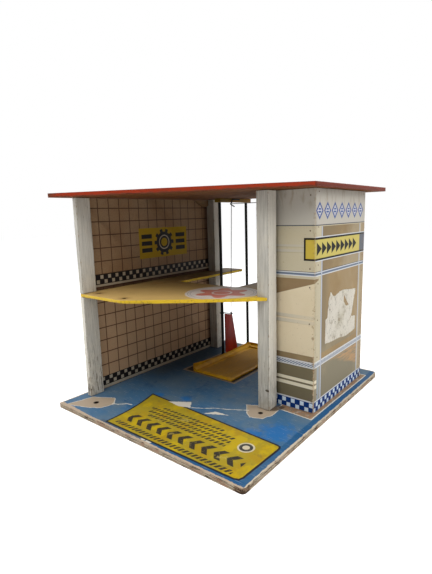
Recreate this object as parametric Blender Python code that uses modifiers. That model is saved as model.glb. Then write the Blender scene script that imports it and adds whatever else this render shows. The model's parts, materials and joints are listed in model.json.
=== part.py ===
# Toy garage: two storeys, a shop tower and a string lift worked by a crank.
# Lengths are in millimetres and become metres where an object is made.
# x runs along the front edge, y to the back, z up from the ground.
# Plan positions count from the base board's front-left corner, heights from the top of the base board.

import math

import bmesh
import bpy
from mathutils import Matrix, Vector

MM = 0.001
# Clearances between pieces that touch, and round the shaft in its drum
GAP = 0.3
THIN_GAP = 0.15
# How far a cutter stands past the face that it cuts
PAST = 1.0

# Base board
BASE_WIDTH = 300.0
BASE_DEPTH = 352.0
BASE_THICKNESS = 6.2
# The board is a little out of square at its front-left corner
BASE_FRONT_LEFT_X = -3.0
BASE_SHARP_RADIUS = 1.5
BASE_CORNER_RADIUS = 4.5
BASE_WORN_RADIUS = 9.0

# Roof board, a trapezium with its front edge on the slant
ROOF_UNDERSIDE = 270.0
ROOF_THICKNESS = 5.3
ROOF_FRONT_LEFT = (-6.0, 9.5)
ROOF_FRONT_RIGHT = (296.4, 144.0)
ROOF_BACK_RIGHT = (299.5, 362.0)
ROOF_BACK_LEFT = (-6.0, 356.0)
ROOF_CORNER_RADIUS = 2.5

# First floor
FLOOR_TOP = 144.0
FLOOR_THICKNESS = 4.0
FLOOR_LEFT = 8.3
FLOOR_RIGHT = 220.3
FLOOR_FRONT = 37.0
FLOOR_BACK = 352.0
FLOOR_FRONT_CORNER_X = 95.0
FLOOR_CORNER_RADIUS = 12.0
FLOOR_TIP_X = 235.5
FLOOR_TIP_Y = 143.0
FLOOR_BOW = 4.0
NOTCH_LEFT = 50.8
NOTCH_RIGHT = 160.0
NOTCH_FRONT = 184.5
NOTCH_RADIUS = 5.0

# Posts, as x from, x to, y from, y to
FRONT_POST = (8.3, 16.2, 37.1, 58.2)
CENTRE_POST = (220.6, 237.2, 143.6, 161.8)
BACK_POST = (8.3, 24.5, 303.7, 321.9)

# Left wall
WALL_LEFT = 5.0
WALL_RIGHT = 8.0
WALL_FRONT = 42.0
WALL_BACK = 321.9
WALL_TOP = 269.5

# Tower
TOWER_LEFT = 220.6
TOWER_RIGHT = 284.3
TOWER_FRONT = 168.4
TOWER_BACK = 321.9
PANEL_THICKNESS = 3.0
BATTEN_SIZE = 9.0

# Open sockets for the garage's loose fittings, as x, y
BASE_SOCKETS = {"socket_left": (37.3, 30.0), "socket_centre": (231.0, 133.0)}
BASE_SOCKET_RADIUS = 2.4
BASE_SOCKET_DEPTH = 4.0
FLOOR_SOCKETS = {"floor_socket_left": (28.4, 53.5), "floor_socket_right": (87.2, 48.3)}
FLOOR_SOCKET_RADIUS = 2.1

# Screws up through the base board, as x, y, and the wells that hold their heads
SCREW_PLACES = [(12.3, 47.5), (228.9, 152.7), (16.4, 312.8), (228.4, 176.2), (276.5, 176.2), (276.5, 314.1)]
SCREW_WELL_RADIUS = 3.4
SCREW_WELL_DEPTH = 2.6
SCREW_HEAD_RADIUS = 2.9
SCREW_HEAD_HEIGHT = 1.9

# Nails down through the roof board, as x, y, each sunk in its own well
NAIL_PLACES = [(12.3, 47.5), (228.9, 152.7), (16.4, 312.8), (282.8, 170.0), (282.8, 245.0), (282.8, 316.0)]
NAIL_PLACES += [(63.0, 282.0), (63.0, 338.0)]
NAIL_WELL_RADIUS = 1.9
NAIL_WELL_DEPTH = 1.1
NAIL_RADIUS = 1.6

# Lift
ROD_X = 63.0
ROD_FRONT_Y = 272.5
ROD_BACK_Y = 347.0
ROD_RADIUS = 2.4
HEAD_BAR_BOTTOM = 263.6
HEAD_BAR_WIDTH = 12.0
HEAD_BAR_FRONT = 267.0
HEAD_BAR_BACK = 354.0
DECK_LEFT = 66.9
DECK_RIGHT = 142.5
DECK_FRONT = 190.5
DECK_BACK = 347.0
DECK_THICKNESS = 2.6
DECK_TOP = 3.0
RIM_THICKNESS = 1.2
END_RIM_TOP = 8.8
PLATE_THICKNESS = 1.6
GUIDE_EYE_RADIUS = 3.6
LOW_GUIDE_HEIGHT = 5.4
# The deck rises until it is level with the first floor.
LIFT_TRAVEL = FLOOR_TOP - DECK_TOP

# String and winding gear
STRING_RADIUS = 0.5
STRING_Y = 305.0
STRING_DROP_X = 62.7
HOOK_HEIGHT = 258.9
STRING_RUN_HEIGHT = 261.4
STRING_HOLE_RADIUS = 2.2
GUIDE_PIN_X = 240.0
GUIDE_PIN_RADIUS = 2.5
WRAP_RADIUS = GUIDE_PIN_RADIUS + STRING_RADIUS + GAP
STRING_DOWN_X = GUIDE_PIN_X + WRAP_RADIUS
DRUM_HEIGHT = 215.0
DRUM_RADIUS = 6.0
WINDING_RADIUS = 6.8
DRUM_X = STRING_DOWN_X - WINDING_RADIUS
SHAFT_RADIUS = 2.0
CRANK_REACH = 25.0

# Plan centre of the whole object, which is the world's origin
CENTRE_X = (ROOF_FRONT_LEFT[0] + BASE_WIDTH) / 2
CENTRE_Y = ROOF_BACK_RIGHT[1] / 2


def clear_scene():
    for item in list(bpy.data.objects):
        bpy.data.objects.remove(item, do_unlink=True)


def make_collection(name, hidden=False):
    collection = bpy.data.collections.new(name)
    bpy.context.scene.collection.children.link(collection)
    collection.hide_render = hidden
    return collection


def make_material(name, colour, roughness, metallic=0.0):
    material = bpy.data.materials.new(name)
    material.use_nodes = True
    shader = material.node_tree.nodes["Principled BSDF"]
    shader.inputs["Base Color"].default_value = (*colour, 1.0)
    shader.inputs["Roughness"].default_value = roughness
    shader.inputs["Metallic"].default_value = metallic
    return material


clear_scene()
PARTS = make_collection("toy_garage")
CUTTERS = make_collection("cutters", hidden=True)

PLYWOOD_BLUE = make_material("printed_plywood", (0.06, 0.16, 0.32), 0.55)
PAINTED_POST = make_material("painted_wood", (0.55, 0.54, 0.50), 0.6)
TILED_PRINT = make_material("tiled_print", (0.45, 0.34, 0.22), 0.5)
TAN_FLOOR = make_material("tan_floor", (0.50, 0.33, 0.11), 0.5)
RED_ROOF = make_material("red_roof", (0.42, 0.05, 0.02), 0.5)
SHOP_PRINT = make_material("shop_print", (0.60, 0.48, 0.28), 0.5)
RAW_WOOD = make_material("raw_wood", (0.45, 0.30, 0.17), 0.7)
YELLOW_PAINT = make_material("yellow_paint", (0.50, 0.30, 0.02), 0.5)
RED_PAINT = make_material("red_paint", (0.42, 0.05, 0.03), 0.45)
BLACK_STEEL = make_material("black_steel", (0.01, 0.01, 0.01), 0.4, 0.6)
BRIGHT_STEEL = make_material("bright_steel", (0.45, 0.44, 0.42), 0.35, 1.0)
GREY_STRING = make_material("grey_string", (0.22, 0.22, 0.21), 0.9)


def spot(x, y, z):
    return Vector(((x - CENTRE_X) * MM, (y - CENTRE_Y) * MM, (z + BASE_THICKNESS) * MM))


def file_away(item, name, material, collection=None):
    item.name = name
    item.data.name = name
    for user in list(item.users_collection):
        user.objects.unlink(item)
    (collection or PARTS).objects.link(item)
    if material:
        item.data.materials.clear()
        item.data.materials.append(material)
    return item


def mesh_object(name, shape, material, collection=None):
    bmesh.ops.recalc_face_normals(shape, faces=shape.faces)
    mesh = bpy.data.meshes.new(name)
    shape.to_mesh(mesh)
    shape.free()
    mesh.shade_smooth()
    mesh.set_sharp_from_angle(angle=math.radians(35))
    return file_away(bpy.data.objects.new(name, mesh), name, material, collection)


def soften(item, width, segments=2):
    bevel = item.modifiers.new("soft_edges", "BEVEL")
    bevel.width = width * MM
    bevel.segments = segments
    bevel.limit_method = "ANGLE"
    bevel.angle_limit = math.radians(40)
    return item


def add_box(shape, low, high):
    middle = (spot(*low) + spot(*high)) / 2
    size = (Vector(high) - Vector(low)) * MM
    placing = Matrix.Translation(middle) @ Matrix.Diagonal((*size, 1.0))
    bmesh.ops.create_cube(shape, size=1.0, matrix=placing)


def box(name, low, high, material, edge=0.4):
    shape = bmesh.new()
    add_box(shape, low, high)
    item = mesh_object(name, shape, material)
    return soften(item, edge) if edge else item


def add_cylinder(shape, start, end, radius, sides=16, end_radius=None):
    first = spot(*start)
    last = spot(*end)
    along = last - first
    turn = Vector((0, 0, 1)).rotation_difference(along).to_matrix().to_4x4()
    placing = Matrix.Translation((first + last) / 2) @ turn
    bmesh.ops.create_cone(
        shape,
        cap_ends=True,
        segments=sides,
        radius1=radius * MM,
        radius2=(radius if end_radius is None else end_radius) * MM,
        depth=along.length,
        matrix=placing,
    )


def cylinder(name, start, end, radius, material, sides=24, edge=0.0):
    shape = bmesh.new()
    add_cylinder(shape, start, end, radius, sides)
    item = mesh_object(name, shape, material)
    return soften(item, edge) if edge else item


def cutter(name, start, end, radius, sides=24):
    shape = bmesh.new()
    add_cylinder(shape, start, end, radius, sides)
    item = mesh_object(name, shape, None, CUTTERS)
    item.hide_render = True
    item.display_type = "WIRE"
    return item


def cut(item, tool):
    hole = item.modifiers.new(tool.name, "BOOLEAN")
    hole.operation = "DIFFERENCE"
    hole.solver = "EXACT"
    hole.object = tool


def round_corners(corners, radii, steps=5):
    # Each corner becomes an arc that touches both of its edges.
    points = []
    count = len(corners)
    for place, (corner, radius) in enumerate(zip(corners, radii)):
        here = Vector(corner)
        if radius == 0:
            points.append(here)
            continue
        back = (Vector(corners[place - 1]) - here).normalized()
        ahead = (Vector(corners[(place + 1) % count]) - here).normalized()
        half = back.angle(ahead) / 2
        centre = here + (back + ahead).normalized() * (radius / math.sin(half))
        first = here + back * (radius / math.tan(half)) - centre
        last = here + ahead * (radius / math.tan(half)) - centre
        sweep = first.angle_signed(last)
        for step in range(steps + 1):
            turn = Matrix.Rotation(-sweep * step / steps, 2)
            points.append(centre + turn @ first)
    return points


def outline_solid(name, points, thickness, material, placing, edge=0.4):
    # A filled flat curve with thickness along its local z, made a mesh so that it can be cut and softened.
    curve = bpy.data.curves.new(name, "CURVE")
    curve.dimensions = "2D"
    curve.fill_mode = "BOTH"
    curve.extrude = thickness * MM / 2
    spline = curve.splines.new("POLY")
    spline.points.add(len(points) - 1)
    for point, (x, y) in zip(spline.points, points):
        point.co = (x * MM, y * MM, 0, 1)
    spline.use_cyclic_u = True
    drawn = bpy.data.objects.new(name, curve)
    bpy.context.scene.collection.objects.link(drawn)
    bpy.context.view_layer.update()
    seen = drawn.evaluated_get(bpy.context.evaluated_depsgraph_get())
    shape = bmesh.new()
    shape.from_mesh(bpy.data.meshes.new_from_object(seen))
    bpy.data.objects.remove(drawn, do_unlink=True)
    bmesh.ops.remove_doubles(shape, verts=shape.verts, dist=0.00001)
    bmesh.ops.dissolve_limit(shape, angle_limit=0.001, verts=shape.verts, edges=shape.edges)
    bmesh.ops.transform(shape, matrix=placing, verts=shape.verts)
    item = mesh_object(name, shape, material)
    return soften(item, edge) if edge else item


def level_board(name, points, low, thickness, material, edge=0.4):
    placing = Matrix.Translation(spot(0, 0, low + thickness / 2))
    return outline_solid(name, points, thickness, material, placing, edge)


def upright_board(name, points, left, thickness, material, edge=0.4):
    # The outline is given as (y, z) and faces +x.
    facing = Matrix(((0, 0, 1, 0), (1, 0, 0, 0), (0, 1, 0, 0), (0, 0, 0, 1)))
    placing = Matrix.Translation(spot(left + thickness / 2, 0, 0)) @ facing
    return outline_solid(name, points, thickness, material, placing, edge)


def wire(name, points, radius, material, resolution=2):
    curve = bpy.data.curves.new(name, "CURVE")
    curve.dimensions = "3D"
    curve.bevel_depth = radius * MM
    curve.bevel_resolution = resolution
    curve.use_fill_caps = True
    spline = curve.splines.new("POLY")
    spline.points.add(len(points) - 1)
    for point, place in zip(spline.points, points):
        point.co = (*spot(*place), 1)
    return file_away(bpy.data.objects.new(name, curve), name, material)


def smooth_route(corners, step):
    # Points at an even step on a Catmull-Rom curve through the corners.
    knots = [Vector(corner) for corner in corners]
    knots = [knots[0] * 2 - knots[1], *knots, knots[-1] * 2 - knots[-2]]
    route = [knots[1]]
    for a, b, c, d in zip(knots, knots[1:], knots[2:], knots[3:]):
        parts = max(1, round((c - b).length / step))
        slope = c - a
        bend = 2 * a - 5 * b + 4 * c - d
        twist = 3 * b - a - 3 * c + d
        for part in range(1, parts + 1):
            t = part / parts
            route.append(b + 0.5 * (slope * t + bend * t**2 + twist * t**3))
    return route


def make_base():
    corners = [(BASE_FRONT_LEFT_X, 0), (BASE_WIDTH, 0), (BASE_WIDTH, BASE_DEPTH), (0, BASE_DEPTH)]
    radii = [BASE_SHARP_RADIUS, BASE_CORNER_RADIUS, BASE_WORN_RADIUS, BASE_CORNER_RADIUS]
    points = round_corners(corners, radii)
    base = level_board("base_board", points, -BASE_THICKNESS, BASE_THICKNESS, PLYWOOD_BLUE, edge=0)
    for name, (x, y) in BASE_SOCKETS.items():
        cut(base, cutter(name, (x, y, PAST), (x, y, -BASE_SOCKET_DEPTH), BASE_SOCKET_RADIUS))
    low = -BASE_THICKNESS - PAST
    high = SCREW_WELL_DEPTH - BASE_THICKNESS
    for place, (x, y) in enumerate(SCREW_PLACES, 1):
        cut(base, cutter(f"screw_well_{place}", (x, y, low), (x, y, high), SCREW_WELL_RADIUS))
    soften(base, 0.6)


def make_base_screws():
    low = GAP - BASE_THICKNESS
    neck_radius = 2.2
    for place, (x, y) in enumerate(SCREW_PLACES, 1):
        shape = bmesh.new()
        end = (x, y, low + SCREW_HEAD_HEIGHT)
        add_cylinder(shape, (x, y, low), end, SCREW_HEAD_RADIUS, 16, neck_radius)
        mesh_object(f"base_screw_{place}", shape, BRIGHT_STEEL)


def make_posts():
    x0, x1, y0, y1 = FRONT_POST
    floor_low = FLOOR_TOP - FLOOR_THICKNESS
    box("front_post_lower", (x0, y0, GAP), (x1, y1, floor_low - GAP), PAINTED_POST, 0.6)
    box("front_post_upper", (x0, y0, FLOOR_TOP + GAP), (x1, y1, ROOF_UNDERSIDE - GAP), PAINTED_POST, 0.6)
    for name, (x0, x1, y0, y1) in {"centre_post": CENTRE_POST, "back_post": BACK_POST}.items():
        box(name, (x0, y0, GAP), (x1, y1, ROOF_UNDERSIDE - GAP), PAINTED_POST, 0.6)


def make_wall():
    low = (WALL_LEFT, WALL_FRONT, GAP)
    box("wall_panel", low, (WALL_RIGHT, WALL_BACK, WALL_TOP), TILED_PRINT, 0.4)
    back = BACK_POST[2] - GAP
    top = WALL_TOP - 0.7
    thickness = 5.0
    # A curved offcut glued in the wall's top back corner, as (y, z).
    brace = [(back - 35, top), (back, top), (back, top - 9.5), (back - 8, top - 11), (back - 17, top - 9)]
    upright_board("wall_corner_brace", brace, WALL_RIGHT + GAP, thickness, RAW_WOOD)


def floor_front_edge():
    # The slanting front edge, bowed outwards by a parabola.
    start = Vector((FLOOR_FRONT_CORNER_X, FLOOR_FRONT))
    end = Vector((FLOOR_TIP_X, FLOOR_TIP_Y))
    outward = Vector((end.y - start.y, start.x - end.x)).normalized()
    steps = 12
    points = []
    for step in range(1, steps + 1):
        t = step / steps
        points.append(start.lerp(end, t) + outward * FLOOR_BOW * 4 * t * (1 - t))
    return points


def make_floor():
    x_post = BACK_POST[1] + GAP
    y_post = BACK_POST[2] - GAP
    y_behind = BACK_POST[3] + GAP
    front = [(FLOOR_LEFT, FLOOR_FRONT), (FLOOR_FRONT_CORNER_X, FLOOR_FRONT), *floor_front_edge()]
    # Right edge, round the lift's notch, and round the back post.
    rest = [
        (FLOOR_RIGHT, FLOOR_TIP_Y),
        (FLOOR_RIGHT, FLOOR_BACK),
        (NOTCH_RIGHT, FLOOR_BACK),
        (NOTCH_RIGHT, NOTCH_FRONT),
        (NOTCH_LEFT, NOTCH_FRONT),
        (NOTCH_LEFT, FLOOR_BACK),
        (FLOOR_LEFT, FLOOR_BACK),
        (FLOOR_LEFT, y_behind),
        (x_post, y_behind),
        (x_post, y_post),
        (FLOOR_LEFT, y_post),
    ]
    small = 3.0
    radii = [2.5, FLOOR_CORNER_RADIUS] + [0] * (len(front) - 2)
    radii += [0, small, small, NOTCH_RADIUS, NOTCH_RADIUS, small, small, 0, 0, 0, 0]
    points = round_corners(front + rest, radii)
    underside = FLOOR_TOP - FLOOR_THICKNESS
    floor = level_board("first_floor", points, underside, FLOOR_THICKNESS, TAN_FLOOR, edge=0)
    for name, (x, y) in FLOOR_SOCKETS.items():
        cut(floor, cutter(name, (x, y, underside - PAST), (x, y, FLOOR_TOP + PAST), FLOOR_SOCKET_RADIUS))
    soften(floor, 0.6)
    # A square cleat on the tower carries the floor's right edge.
    size = 8.0
    high = (TOWER_LEFT - GAP, 318.0, underside - GAP)
    box("floor_cleat", (high[0] - size, 175.0, high[2] - size), high, RAW_WOOD)


def make_roof():
    corners = [ROOF_FRONT_LEFT, ROOF_FRONT_RIGHT, ROOF_BACK_RIGHT, ROOF_BACK_LEFT]
    points = round_corners(corners, [ROOF_CORNER_RADIUS] * 4)
    roof = level_board("roof_board", points, ROOF_UNDERSIDE, ROOF_THICKNESS, RED_ROOF, edge=0)
    top = ROOF_UNDERSIDE + ROOF_THICKNESS
    head_low = top - NAIL_WELL_DEPTH + GAP
    head_high = top - 0.1
    for place, (x, y) in enumerate(NAIL_PLACES, 1):
        well = cutter(
            f"nail_well_{place}", (x, y, top - NAIL_WELL_DEPTH), (x, y, top + PAST), NAIL_WELL_RADIUS, 16
        )
        cut(roof, well)
        cylinder(f"roof_nail_{place}", (x, y, head_low), (x, y, head_high), NAIL_RADIUS, BRIGHT_STEEL, 12)
    soften(roof, 0.7)


def make_tower():
    top = ROOF_UNDERSIDE - GAP
    inner_left = TOWER_LEFT + PANEL_THICKNESS
    inner_right = TOWER_RIGHT - PANEL_THICKNESS
    inner_front = TOWER_FRONT + PANEL_THICKNESS
    inner_back = TOWER_BACK - PANEL_THICKNESS
    low = (TOWER_LEFT, TOWER_FRONT, GAP)
    box("tower_front_panel", low, (TOWER_RIGHT, inner_front, top), SHOP_PRINT)
    low = (inner_right, inner_front + GAP, GAP)
    box("tower_side_panel", low, (TOWER_RIGHT, TOWER_BACK, top), SHOP_PRINT)
    low = (TOWER_LEFT, inner_front + GAP, GAP)
    inner = box("tower_inner_panel", low, (inner_left, TOWER_BACK, top), RAW_WOOD, 0)
    start = (TOWER_LEFT - PAST, STRING_Y, STRING_RUN_HEIGHT)
    end = (inner_left + PAST, STRING_Y, STRING_RUN_HEIGHT)
    cut(inner, cutter("string_hole", start, end, STRING_HOLE_RADIUS))
    low = (inner_left + GAP, inner_back, GAP)
    back = box("tower_back_panel", low, (inner_right - GAP, TOWER_BACK, top), RAW_WOOD, 0)
    start = (DRUM_X, inner_back - PAST, DRUM_HEIGHT)
    end = (DRUM_X, TOWER_BACK + PAST, DRUM_HEIGHT)
    cut(back, cutter("shaft_hole", start, end, SHAFT_RADIUS + GAP))
    for across, x in {"left": inner_left + GAP, "right": inner_right - GAP - BATTEN_SIZE}.items():
        for along, y in {"front": inner_front + GAP, "back": inner_back - GAP - BATTEN_SIZE}.items():
            high = (x + BATTEN_SIZE, y + BATTEN_SIZE, top)
            box(f"tower_batten_{along}_{across}", (x, y, GAP), high, RAW_WOOD)


def make_rods():
    low = HEAD_BAR_BOTTOM
    left = ROD_X - HEAD_BAR_WIDTH / 2
    high = (left + HEAD_BAR_WIDTH, HEAD_BAR_BACK, ROOF_UNDERSIDE - GAP)
    box("head_bar", (left, HEAD_BAR_FRONT, low), high, YELLOW_PAINT)
    for name, y in {"guide_rod_front": ROD_FRONT_Y, "guide_rod_back": ROD_BACK_Y}.items():
        cylinder(name, (ROD_X, y, GAP), (ROD_X, y, low - GAP), ROD_RADIUS, BLACK_STEEL)
    hook = [
        (70.4, 318.0, 268.0),
        (70.4, 308.0, 268.0),
        (70.5, 298.0, 267.6),
        (70.8, 295.8, 265.2),
        (70.4, 295.6, 262.8),
        (68.2, 296.2, 261.4),
        (65.6, 298.8, 260.8),
        (64.5, 305.0, 258.7),
        (64.5, 311.0, 256.7),
    ]
    wire("string_hook", smooth_route(hook, 2.0), 1.0, BLACK_STEEL)


def make_lift():
    low = DECK_TOP - DECK_THICKNESS
    box("lift_deck", (DECK_LEFT, DECK_FRONT, low), (DECK_RIGHT, DECK_BACK, DECK_TOP), YELLOW_PAINT, 0.5)
    foot = DECK_TOP + GAP
    # The side rim as (y, z): high at its two ends and low between them.
    side = [
        (DECK_FRONT, foot),
        (DECK_BACK, foot),
        (DECK_BACK, 9.0),
        (DECK_BACK - 6, 9.2),
        (280.0, 7.4),
        (240.0, 8.2),
        (205.0, 11.6),
        (DECK_FRONT + 1, 13.2),
        (DECK_FRONT, 12.4),
    ]
    upright_board("lift_side_rim", side, DECK_LEFT, RIM_THICKNESS, YELLOW_PAINT, 0.3)
    end_rim_front = DECK_BACK - RIM_THICKNESS
    fillet_left = DECK_LEFT + RIM_THICKNESS + GAP
    fillet_width = 5.4
    fillet_top_width = 1.2
    fillet_top = foot + 3.6
    fillet = bmesh.new()
    high = (fillet_left + fillet_width, end_rim_front - GAP, fillet_top)
    add_box(fillet, (fillet_left, DECK_FRONT, foot), high)
    # Its upper right edge is moved inwards, which makes the right side a slope.
    middle = spot(fillet_left + fillet_width / 2, 0, (foot + fillet_top) / 2)
    for corner in fillet.verts:
        if corner.co.x > middle.x and corner.co.z > middle.z:
            corner.co.x -= (fillet_width - fillet_top_width) * MM
    mesh_object("lift_side_fillet", fillet, YELLOW_PAINT)
    low = (fillet_left, end_rim_front, foot)
    box("lift_end_rim", low, (DECK_RIGHT, DECK_BACK, END_RIM_TOP), YELLOW_PAINT, 0.3)
    stop_depth = 11.5
    stop_height = 2.0
    low = (fillet_left + fillet_width + GAP, end_rim_front - GAP - stop_depth, foot)
    box("lift_end_stop", low, (DECK_RIGHT, end_rim_front - GAP, foot + stop_height), YELLOW_PAINT)


def rod_eye(y, z, start, sweep, steps=20):
    # Points round a guide rod, from the start angle over the sweep, both in degrees.
    points = []
    for step in range(steps + 1):
        angle = math.radians(start + sweep * step / steps)
        across = GUIDE_EYE_RADIUS * math.cos(angle)
        points.append(Vector((ROD_X + across, y + GUIDE_EYE_RADIUS * math.sin(angle), z)))
    return points


def make_lift_plate():
    front = ROD_FRONT_Y + ROD_RADIUS + 0.7
    step_in = front + 2.4
    # A tall plate as (y, z), wider at its foot, with its lower front corner cut back for the low guide.
    plate = [
        (step_in, 1.6),
        (311.0, 1.6),
        (296.2, 71.8),
        (front + 1.0, 76.4),
        (front, 75.6),
        (front, 8.4),
        (step_in, 7.2),
    ]
    plate_left = DECK_LEFT - GAP - PLATE_THICKNESS
    upright_board("lift_plate", plate, plate_left, PLATE_THICKNESS, RED_PAINT, 0.3)
    x = plate_left + PLATE_THICKNESS / 2
    route = rod_eye(ROD_FRONT_Y, 78.2, 368, -318)
    tail = [(x, 277.4, 77.6), (x, 284.0, 76.0), (x, 294.0, 73.6), (x, 297.6, 72.9), (63.6, 299.0, 73.0)]
    route += smooth_route([route[-1], *tail], 2.5)[1:]
    wire("lift_top_guide", route, 0.8, BLACK_STEEL)
    for name, y in {"lift_low_guide_front": ROD_FRONT_Y, "lift_low_guide_back": ROD_BACK_Y}.items():
        wire(name, rod_eye(y, LOW_GUIDE_HEIGHT, -330, 300), 0.7, BLACK_STEEL)


def straight_route(start, end, steps):
    # Even points after the start, up to and with the end.
    return [Vector(start).lerp(Vector(end), step / steps) for step in range(1, steps + 1)]


def make_string():
    low = (STRING_DROP_X, 297.6, 74.4)
    high = (STRING_DROP_X, STRING_Y, HOOK_HEIGHT - GAP)
    wire("string_drop", [low, *straight_route(low, high, 12)], STRING_RADIUS, GREY_STRING)
    # Over the hook, along under the roof, round the guide pin and down to the drum.
    route = [
        (STRING_DROP_X, STRING_Y, HOOK_HEIGHT),
        (STRING_DROP_X, STRING_Y, HOOK_HEIGHT + 1.0),
        (STRING_DROP_X + 0.4, STRING_Y, HOOK_HEIGHT + 2.0),
        (STRING_DROP_X + 1.4, STRING_Y, STRING_RUN_HEIGHT),
    ]
    route += straight_route(route[-1], (GUIDE_PIN_X, STRING_Y, STRING_RUN_HEIGHT), 24)
    pin_height = STRING_RUN_HEIGHT - WRAP_RADIUS
    quarter = 8
    for step in range(1, quarter + 1):
        angle = math.pi / 2 * (1 - step / quarter)
        x = GUIDE_PIN_X + WRAP_RADIUS * math.cos(angle)
        route.append((x, STRING_Y, pin_height + WRAP_RADIUS * math.sin(angle)))
    # It stops above the turning drum, clear of the wound string's end.
    end = (STRING_DOWN_X, STRING_Y, DRUM_HEIGHT + 4.8)
    route += straight_route(route[-1], end, 8)
    wire("string_run", route, STRING_RADIUS, GREY_STRING)
    start = (GUIDE_PIN_X, STRING_Y - 6.0, pin_height)
    end = (GUIDE_PIN_X, TOWER_BACK - PANEL_THICKNESS - GAP, pin_height)
    cylinder("string_guide_pin", start, end, GUIDE_PIN_RADIUS, BRIGHT_STEEL)


def turned(name, profile, axis_x, axis_z, y_start, material, sides=24):
    # The profile is (radius, distance along y) from the front end to the back end.
    mesh = bpy.data.meshes.new(name)
    shape = bmesh.new()
    ring = [shape.verts.new((radius * MM, 0, -along * MM)) for radius, along in profile]
    for first, second in zip(ring, ring[1:]):
        shape.edges.new((first, second))
    shape.to_mesh(mesh)
    shape.free()
    item = file_away(bpy.data.objects.new(name, mesh), name, material)
    item.location = spot(axis_x, y_start, axis_z)
    item.rotation_euler = (math.pi / 2, 0, 0)
    screw = item.modifiers.new("turn", "SCREW")
    screw.steps = sides
    screw.render_steps = sides
    screw.use_merge_vertices = True
    screw.merge_threshold = 0.00001
    return item


def make_winding():
    # The barrel lies between two flanges, behind a bearing block that holds the shaft's front end.
    barrel_front = STRING_Y - 6.0
    barrel = 8.0
    flange = 1.5
    flange_radius = 9.0
    bore = SHAFT_RADIUS + THIN_GAP
    profile = [
        (bore, 0),
        (flange_radius, 0),
        (flange_radius, flange),
        (DRUM_RADIUS, flange),
        (DRUM_RADIUS, flange + barrel),
        (flange_radius, flange + barrel),
        (flange_radius, barrel + 2 * flange),
        (bore, barrel + 2 * flange),
        (bore, 0),
    ]
    turned("winding_drum", profile, DRUM_X, DRUM_HEIGHT, barrel_front - flange, RAW_WOOD)
    shaft_front = barrel_front - 14.0
    arm_front = TOWER_BACK + 2.0
    end = (DRUM_X, arm_front - GAP, DRUM_HEIGHT)
    cylinder("crank_shaft", (DRUM_X, shaft_front, DRUM_HEIGHT), end, SHAFT_RADIUS, BRIGHT_STEEL)
    make_string_winding()
    half = 10.0
    low = (TOWER_LEFT + PANEL_THICKNESS + GAP, shaft_front - 2.0, DRUM_HEIGHT - half)
    high = (DRUM_X + half, barrel_front - 3.0, DRUM_HEIGHT + half)
    block = box("drum_bearing", low, high, RAW_WOOD, 0)
    start = (DRUM_X, low[1] - PAST, DRUM_HEIGHT)
    end = (DRUM_X, high[1] + PAST, DRUM_HEIGHT)
    cut(block, cutter("bearing_hole", start, end, SHAFT_RADIUS + GAP))
    make_crank(arm_front)


def make_string_winding():
    pitch = 1.5
    per_turn = 20
    turns = 3
    # A short straight end points up at the string that comes down.
    route = [(DRUM_X + WINDING_RADIUS, STRING_Y, DRUM_HEIGHT + 2 * STRING_RADIUS)]
    for step in range(turns * per_turn + 1):
        angle = 2 * math.pi * step / per_turn
        x = DRUM_X + WINDING_RADIUS * math.cos(angle)
        z = DRUM_HEIGHT - WINDING_RADIUS * math.sin(angle)
        route.append((x, STRING_Y - pitch * step / per_turn, z))
    wire("string_winding", route, STRING_RADIUS, GREY_STRING, 1)
    # The gap is measured on the points, between each one and those of the next turn.
    points = [Vector(point) for point in route]
    least = min(
        (first - second).length
        for place, first in enumerate(points)
        for second in points[place + per_turn // 2 :]
    )
    print("least gap between turns, mm:", round(least - 2 * STRING_RADIUS, 3))


def make_crank(arm_front):
    arm_thickness = 2.5
    half_width = 3.6
    knob_height = DRUM_HEIGHT - CRANK_REACH
    # The arm's outline is a half circle over the shaft and another under the knob.
    points = []
    steps = 8
    for middle, start in ((DRUM_HEIGHT, 0), (knob_height, math.pi)):
        for step in range(steps + 1):
            angle = start + math.pi * step / steps
            points.append((DRUM_X + half_width * math.cos(angle), middle + half_width * math.sin(angle)))
    facing = Matrix(((1, 0, 0, 0), (0, 0, -1, 0), (0, 1, 0, 0), (0, 0, 0, 1)))
    placing = Matrix.Translation(spot(0, arm_front + arm_thickness / 2, 0)) @ facing
    outline_solid("crank_arm", points, arm_thickness, BRIGHT_STEEL, placing, 0.3)
    face = arm_front + arm_thickness + GAP
    nut = [(0, 0), (3.0, 0), (3.0, 1.6), (2.0, 2.8), (0, 3.2)]
    turned("crank_nut", nut, DRUM_X, DRUM_HEIGHT, face, BRIGHT_STEEL, 12)
    knob = [(0, 0), (2.6, 0), (3.4, 1.2), (4.2, 6.0), (4.6, 11.0), (4.2, 14.0), (2.8, 15.6), (0, 16.0)]
    turned("crank_knob", knob, DRUM_X, knob_height, face, RED_PAINT, 20)


def carry(axis_name, place, names):
    # An empty on the joint's axis carries the pieces that move with it.
    axis = bpy.data.objects.new(axis_name, None)
    axis.location = spot(*place)
    axis.empty_display_size = 20 * MM
    PARTS.objects.link(axis)
    bpy.context.view_layer.update()
    for name in names:
        piece = bpy.data.objects[name]
        piece.parent = axis
        piece.matrix_parent_inverse = axis.matrix_world.inverted()


make_base()
make_base_screws()
make_posts()
make_wall()
make_floor()
make_roof()
make_tower()
make_rods()
make_lift()
make_lift_plate()
make_string()
make_winding()
lift_names = [item.name for item in PARTS.objects if item.name.startswith("lift_")]
carry("lift_axis", (ROD_X, ROD_FRONT_Y, DECK_TOP), [*lift_names, "string_drop"])
crank_names = [item.name for item in PARTS.objects if item.name.startswith("crank_")]
carry("crank_axis", (DRUM_X, TOWER_BACK, DRUM_HEIGHT), [*crank_names, "winding_drum", "string_winding"])
print("lift travel, mm:", LIFT_TRAVEL)
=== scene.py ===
import json
import math

import bmesh
import bpy
from mathutils import Matrix, Vector, noise


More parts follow.
